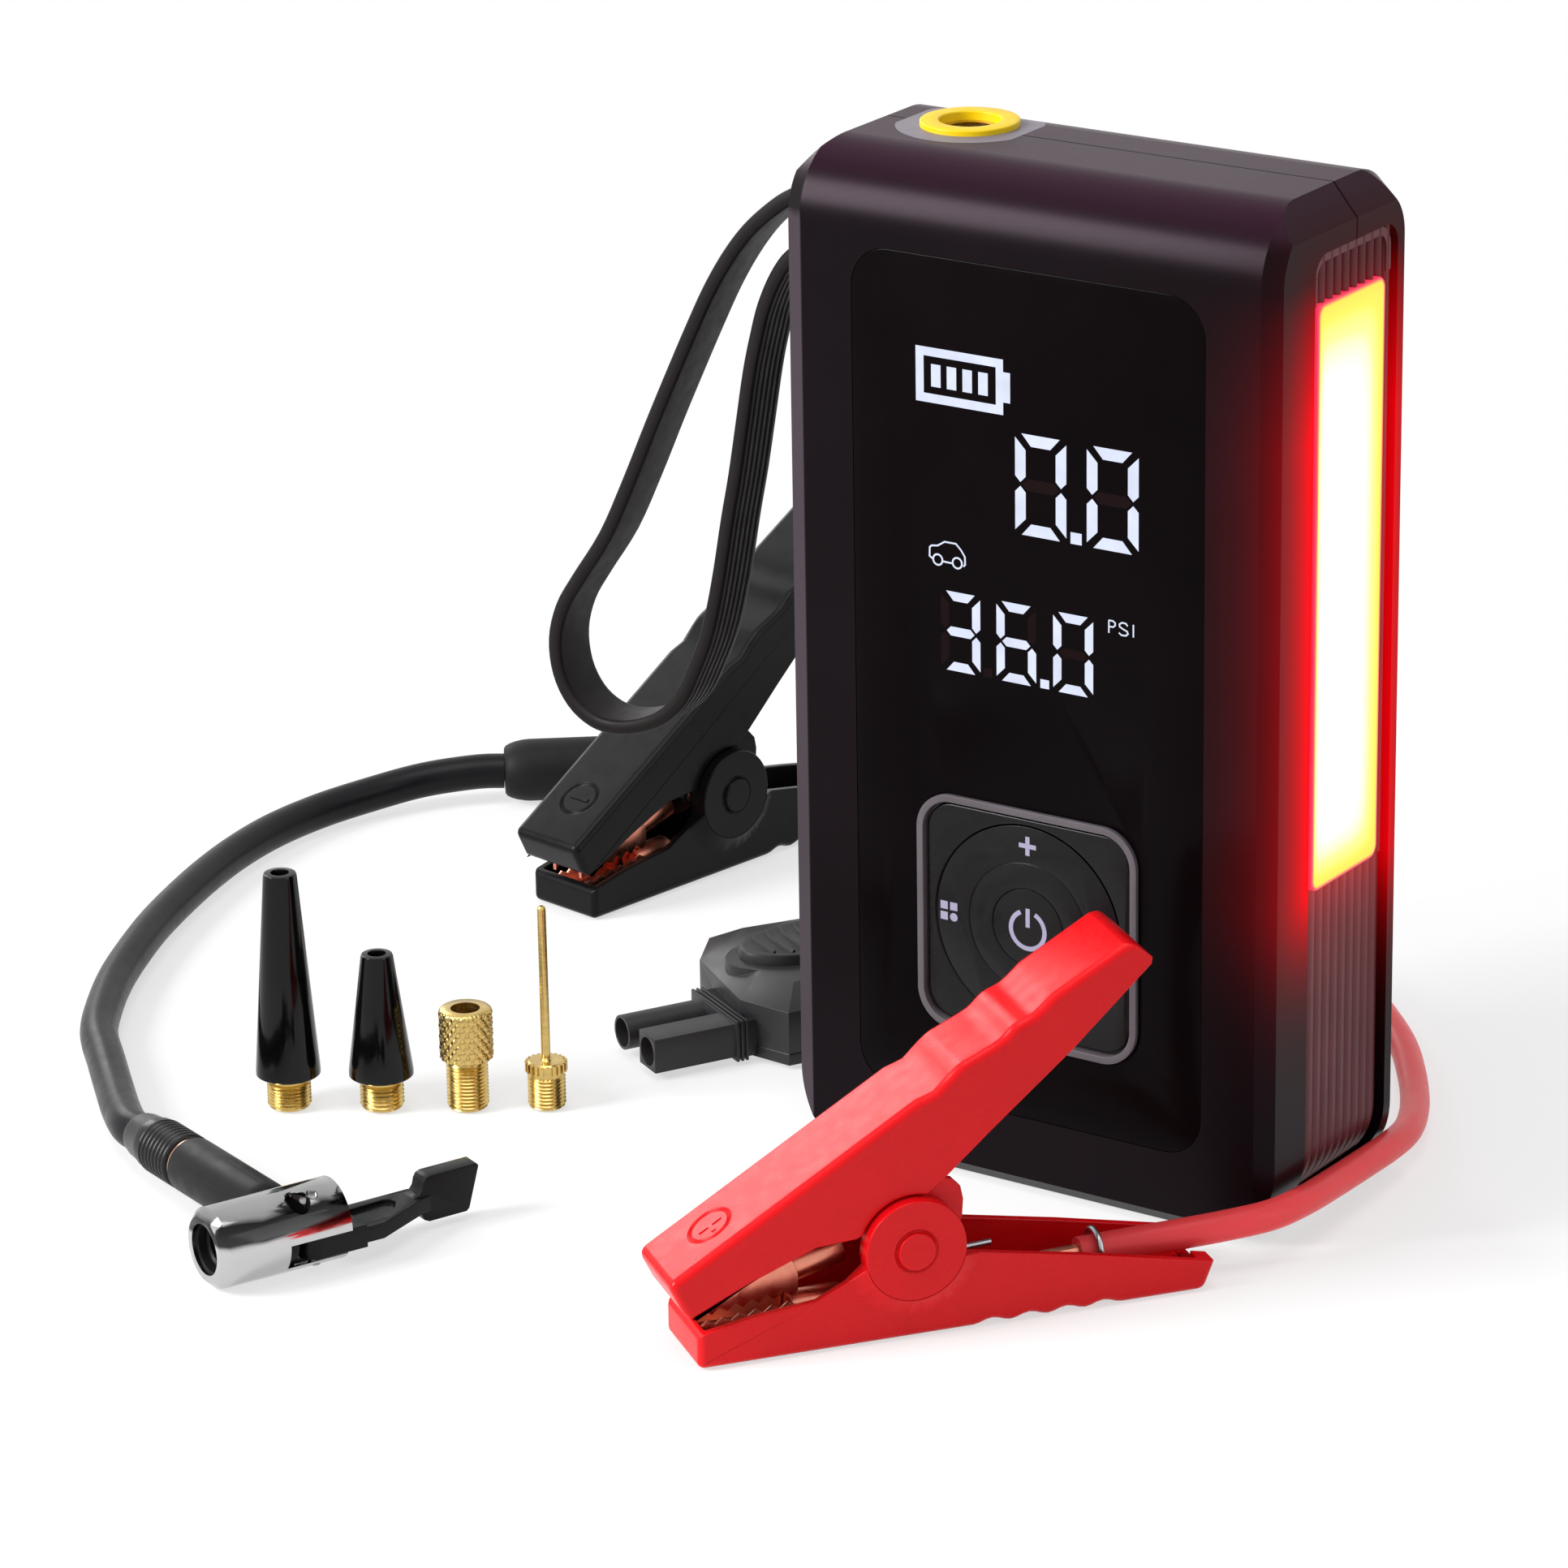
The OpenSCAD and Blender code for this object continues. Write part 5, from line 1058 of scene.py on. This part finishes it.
# %% [markdown]
# The plug: two shells, a raised oval pad with curved ridges that give the thumb a hold, and
# the two barrels. The ridges are arcs cut to the oval.

# %% The plug
bevelled("plug_top_shell", 0.6, plug_grey)
bevelled("plug_bottom_shell", 0.4, plug_grey)
bevelled("plug_barrels", 0.3, plug_grey)


def in_plug(x, y, z):
    return turned_point((-97, -9.8), 61, x, y, z)


def grip_pad():
    """An oval dome and the thin arcs across it"""
    half_long, half_wide, middle, count, steps = 16.8, 8.6, (42, 0.5), 72, 14
    rings = ((14.4, 1.0), (16.0, 1.0), (16.5, 0.985), (16.7, 0.95), (16.7, 0.9), (16.55, 0.87), (16.5, 0.02))
    points = [in_plug(middle[0] + half_long * share * math.cos(math.tau * k / count),
                      middle[1] + half_wide * share * math.sin(math.tau * k / count), z)
              for z, share in rings for k in range(count)]
    faces = hoops(len(rings), count)
    for i in range(-4, 5):
        half = half_wide * 0.84 * math.sqrt(max(0.05, 1 - (3 * i / 15.2) ** 2))
        faces += hoops(steps + 1, 4, first=len(points))
        for k in range(steps + 1):
            y = -half + 2 * half * k / steps
            x = middle[0] + 3 * i + 1.9 * (y / half_wide) ** 2 - 0.5
            points += [in_plug(x + aside, middle[1] + y, z)
                       for aside, z in ((-0.42, 16.4), (-0.16, 17.05), (0.16, 17.05), (0.42, 16.4))]
    return points, faces


pad_piece = add_piece("grip_pad", *grip_pad(), plug_grey)
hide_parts("plug_grip")

# %% [markdown]
# The strap is a moulded band that keeps its loop by its own stiffness. Its section is a flat
# bar with round edges and five shallow grooves along the outer face, swept along the loop.

# %% The carry strap
strap_route = [(-43.5, 170.5), (-52, 170.5), (-58, 169.6), (-63, 167.4), (-68, 163.6), (-72, 159.7), (-76, 154.5),
               (-80, 148), (-84, 140.2), (-88, 132), (-93, 121.5), (-98.5, 109.5), (-104, 98.5), (-110.5, 89),
               (-114.2, 83), (-116, 76.5), (-115.3, 70), (-112.4, 65), (-108, 62.2), (-103, 61.7), (-97.5, 63),
               (-92.5, 65.5), (-88, 70), (-84.8, 76.2), (-82.3, 82), (-80.5, 88), (-78.7, 96), (-76.8, 106),
               (-75, 114.5), (-73.2, 124.5), (-71.4, 134.5), (-69.7, 141.5), (-68, 147.2), (-65.3, 152.9),
               (-62, 157.2), (-57.5, 159.6), (-52, 160.2), (-43.5, 160.2)]


def strap_section():
    """Half width 5 and half thickness 1.4, grooved on the side that faces out of the loop"""
    outer = [(-4.95, 0.9), (-4.6, 1.3), (-4.2, 1.4)]
    for k in range(5):
        middle = -3.2 + 1.6 * k
        outer += [(middle - 0.42, 1.4), (middle - 0.25, 1.05), (middle + 0.25, 1.05), (middle + 0.42, 1.4)]
    outer += [(4.2, 1.4), (4.6, 1.3), (4.95, 0.9)]
    return outer + [(5, -0.9), (4.6, -1.3), (4.1, -1.4), (-4.1, -1.4), (-4.6, -1.3), (-5, -0.9)]


# The section's first direction points out of the loop, its second along the case's depth
line = smooth_line([(x, SEAM_Y, z) for x, z in strap_route], 4)
points, faces = sweep(line, [(up, side) for side, up in strap_section()], Vector((0, 1, 0)))
band = add_piece("strap_band", points, faces, band_rubber, sharp=50)
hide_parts("carry_strap")

# %% [markdown]
# The stage: a pale floor, white to the camera but still able to carry the soft shadows, and
# large lamps. A product on white needs light that wraps round it: a strong one high on the
# left, a soft one overhead to draw the highlight along the top edge, and weaker ones on the
# right and far left.

# %% Floor, world and lamps
def floor_finish():
    finish = Finish("floor_white")
    finish.surface(Base_Color=(0.93, 0.93, 0.93, 1), Roughness=0.7, Specular_IOR_Level=0.1)
    # Further from the set the floor turns fully white
    away = finish.add("ShaderNodeVectorMath", finish.at, settings={"operation": "LENGTH"}).outputs["Value"]
    share = finish.maths("MULTIPLY", finish.seen_directly(), finish.spread(away, 0.62, 1, 0.2, 0.36))
    mix = finish.add("ShaderNodeMixShader", share, finish.tree.nodes["Principled BSDF"],
                     finish.add("ShaderNodeEmission"))
    finish.feed(finish.tree.nodes["Material Output"], Surface=mix)
    return finish.material


FLOOR, FLOOR_Z = 3, -0.0003
floor = placed("floor", bpy.data.meshes.new("floor"))
floor.data.from_pydata([(x * FLOOR, y * FLOOR, FLOOR_Z) for x, y in ((-1, -1), (1, -1), (1, 1), (-1, 1))], [],
                       [(0, 1, 2, 3)])
floor.data.materials.append(floor_finish())
floor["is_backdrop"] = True

world = bpy.data.worlds.new("studio")
bpy.context.scene.world = world
world.use_nodes = True
sky = Nodes(world.node_tree)
sky.feed(world.node_tree.nodes["Background"], Color=(1, 1, 1, 1),
         Strength=sky.spread(sky.seen_directly(), 0.32, 1.0, 0, 1))


def lamp(name, at, aim, size, power):
    light = bpy.data.lights.new(name, "AREA")
    light.shape, light.size, light.size_y = "RECTANGLE", *size
    light.energy = power
    holder = placed(name, light)
    holder.location = at
    holder.rotation_euler = (Vector(aim) - Vector(at)).to_track_quat("-Z", "Y").to_euler()


lamp("key_left", (-0.88, -1.09, 0.84), (0, 0, 0.15), (0.5, 0.8), 32)
lamp("high", (0.1, -0.3, 1.5), (0, 0, 0.1), (0.9, 0.9), 7)
lamp("right", (1.3, 0.1, 0.7), (0, 0, 0.1), (0.7, 0.9), 2.5)
lamp("far_left", (-1.22, 0.52, 0.68), (0, -0.1, 0.04), (0.5, 0.5), 4)

# %% [markdown]
# Last, the overall box is printed, to set beside the engineering model's printed at the start,
# because the looks must not change the object's size.

# %% Sizes and finish
bpy.context.scene.view_settings.view_transform = "Standard"
low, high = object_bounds()
{"cad": [list(cad_low), list(cad_high)], "visual": [list(low), list(high)]}
print("box now", [round(x, 4) for x in low], [round(x, 4) for x in high])
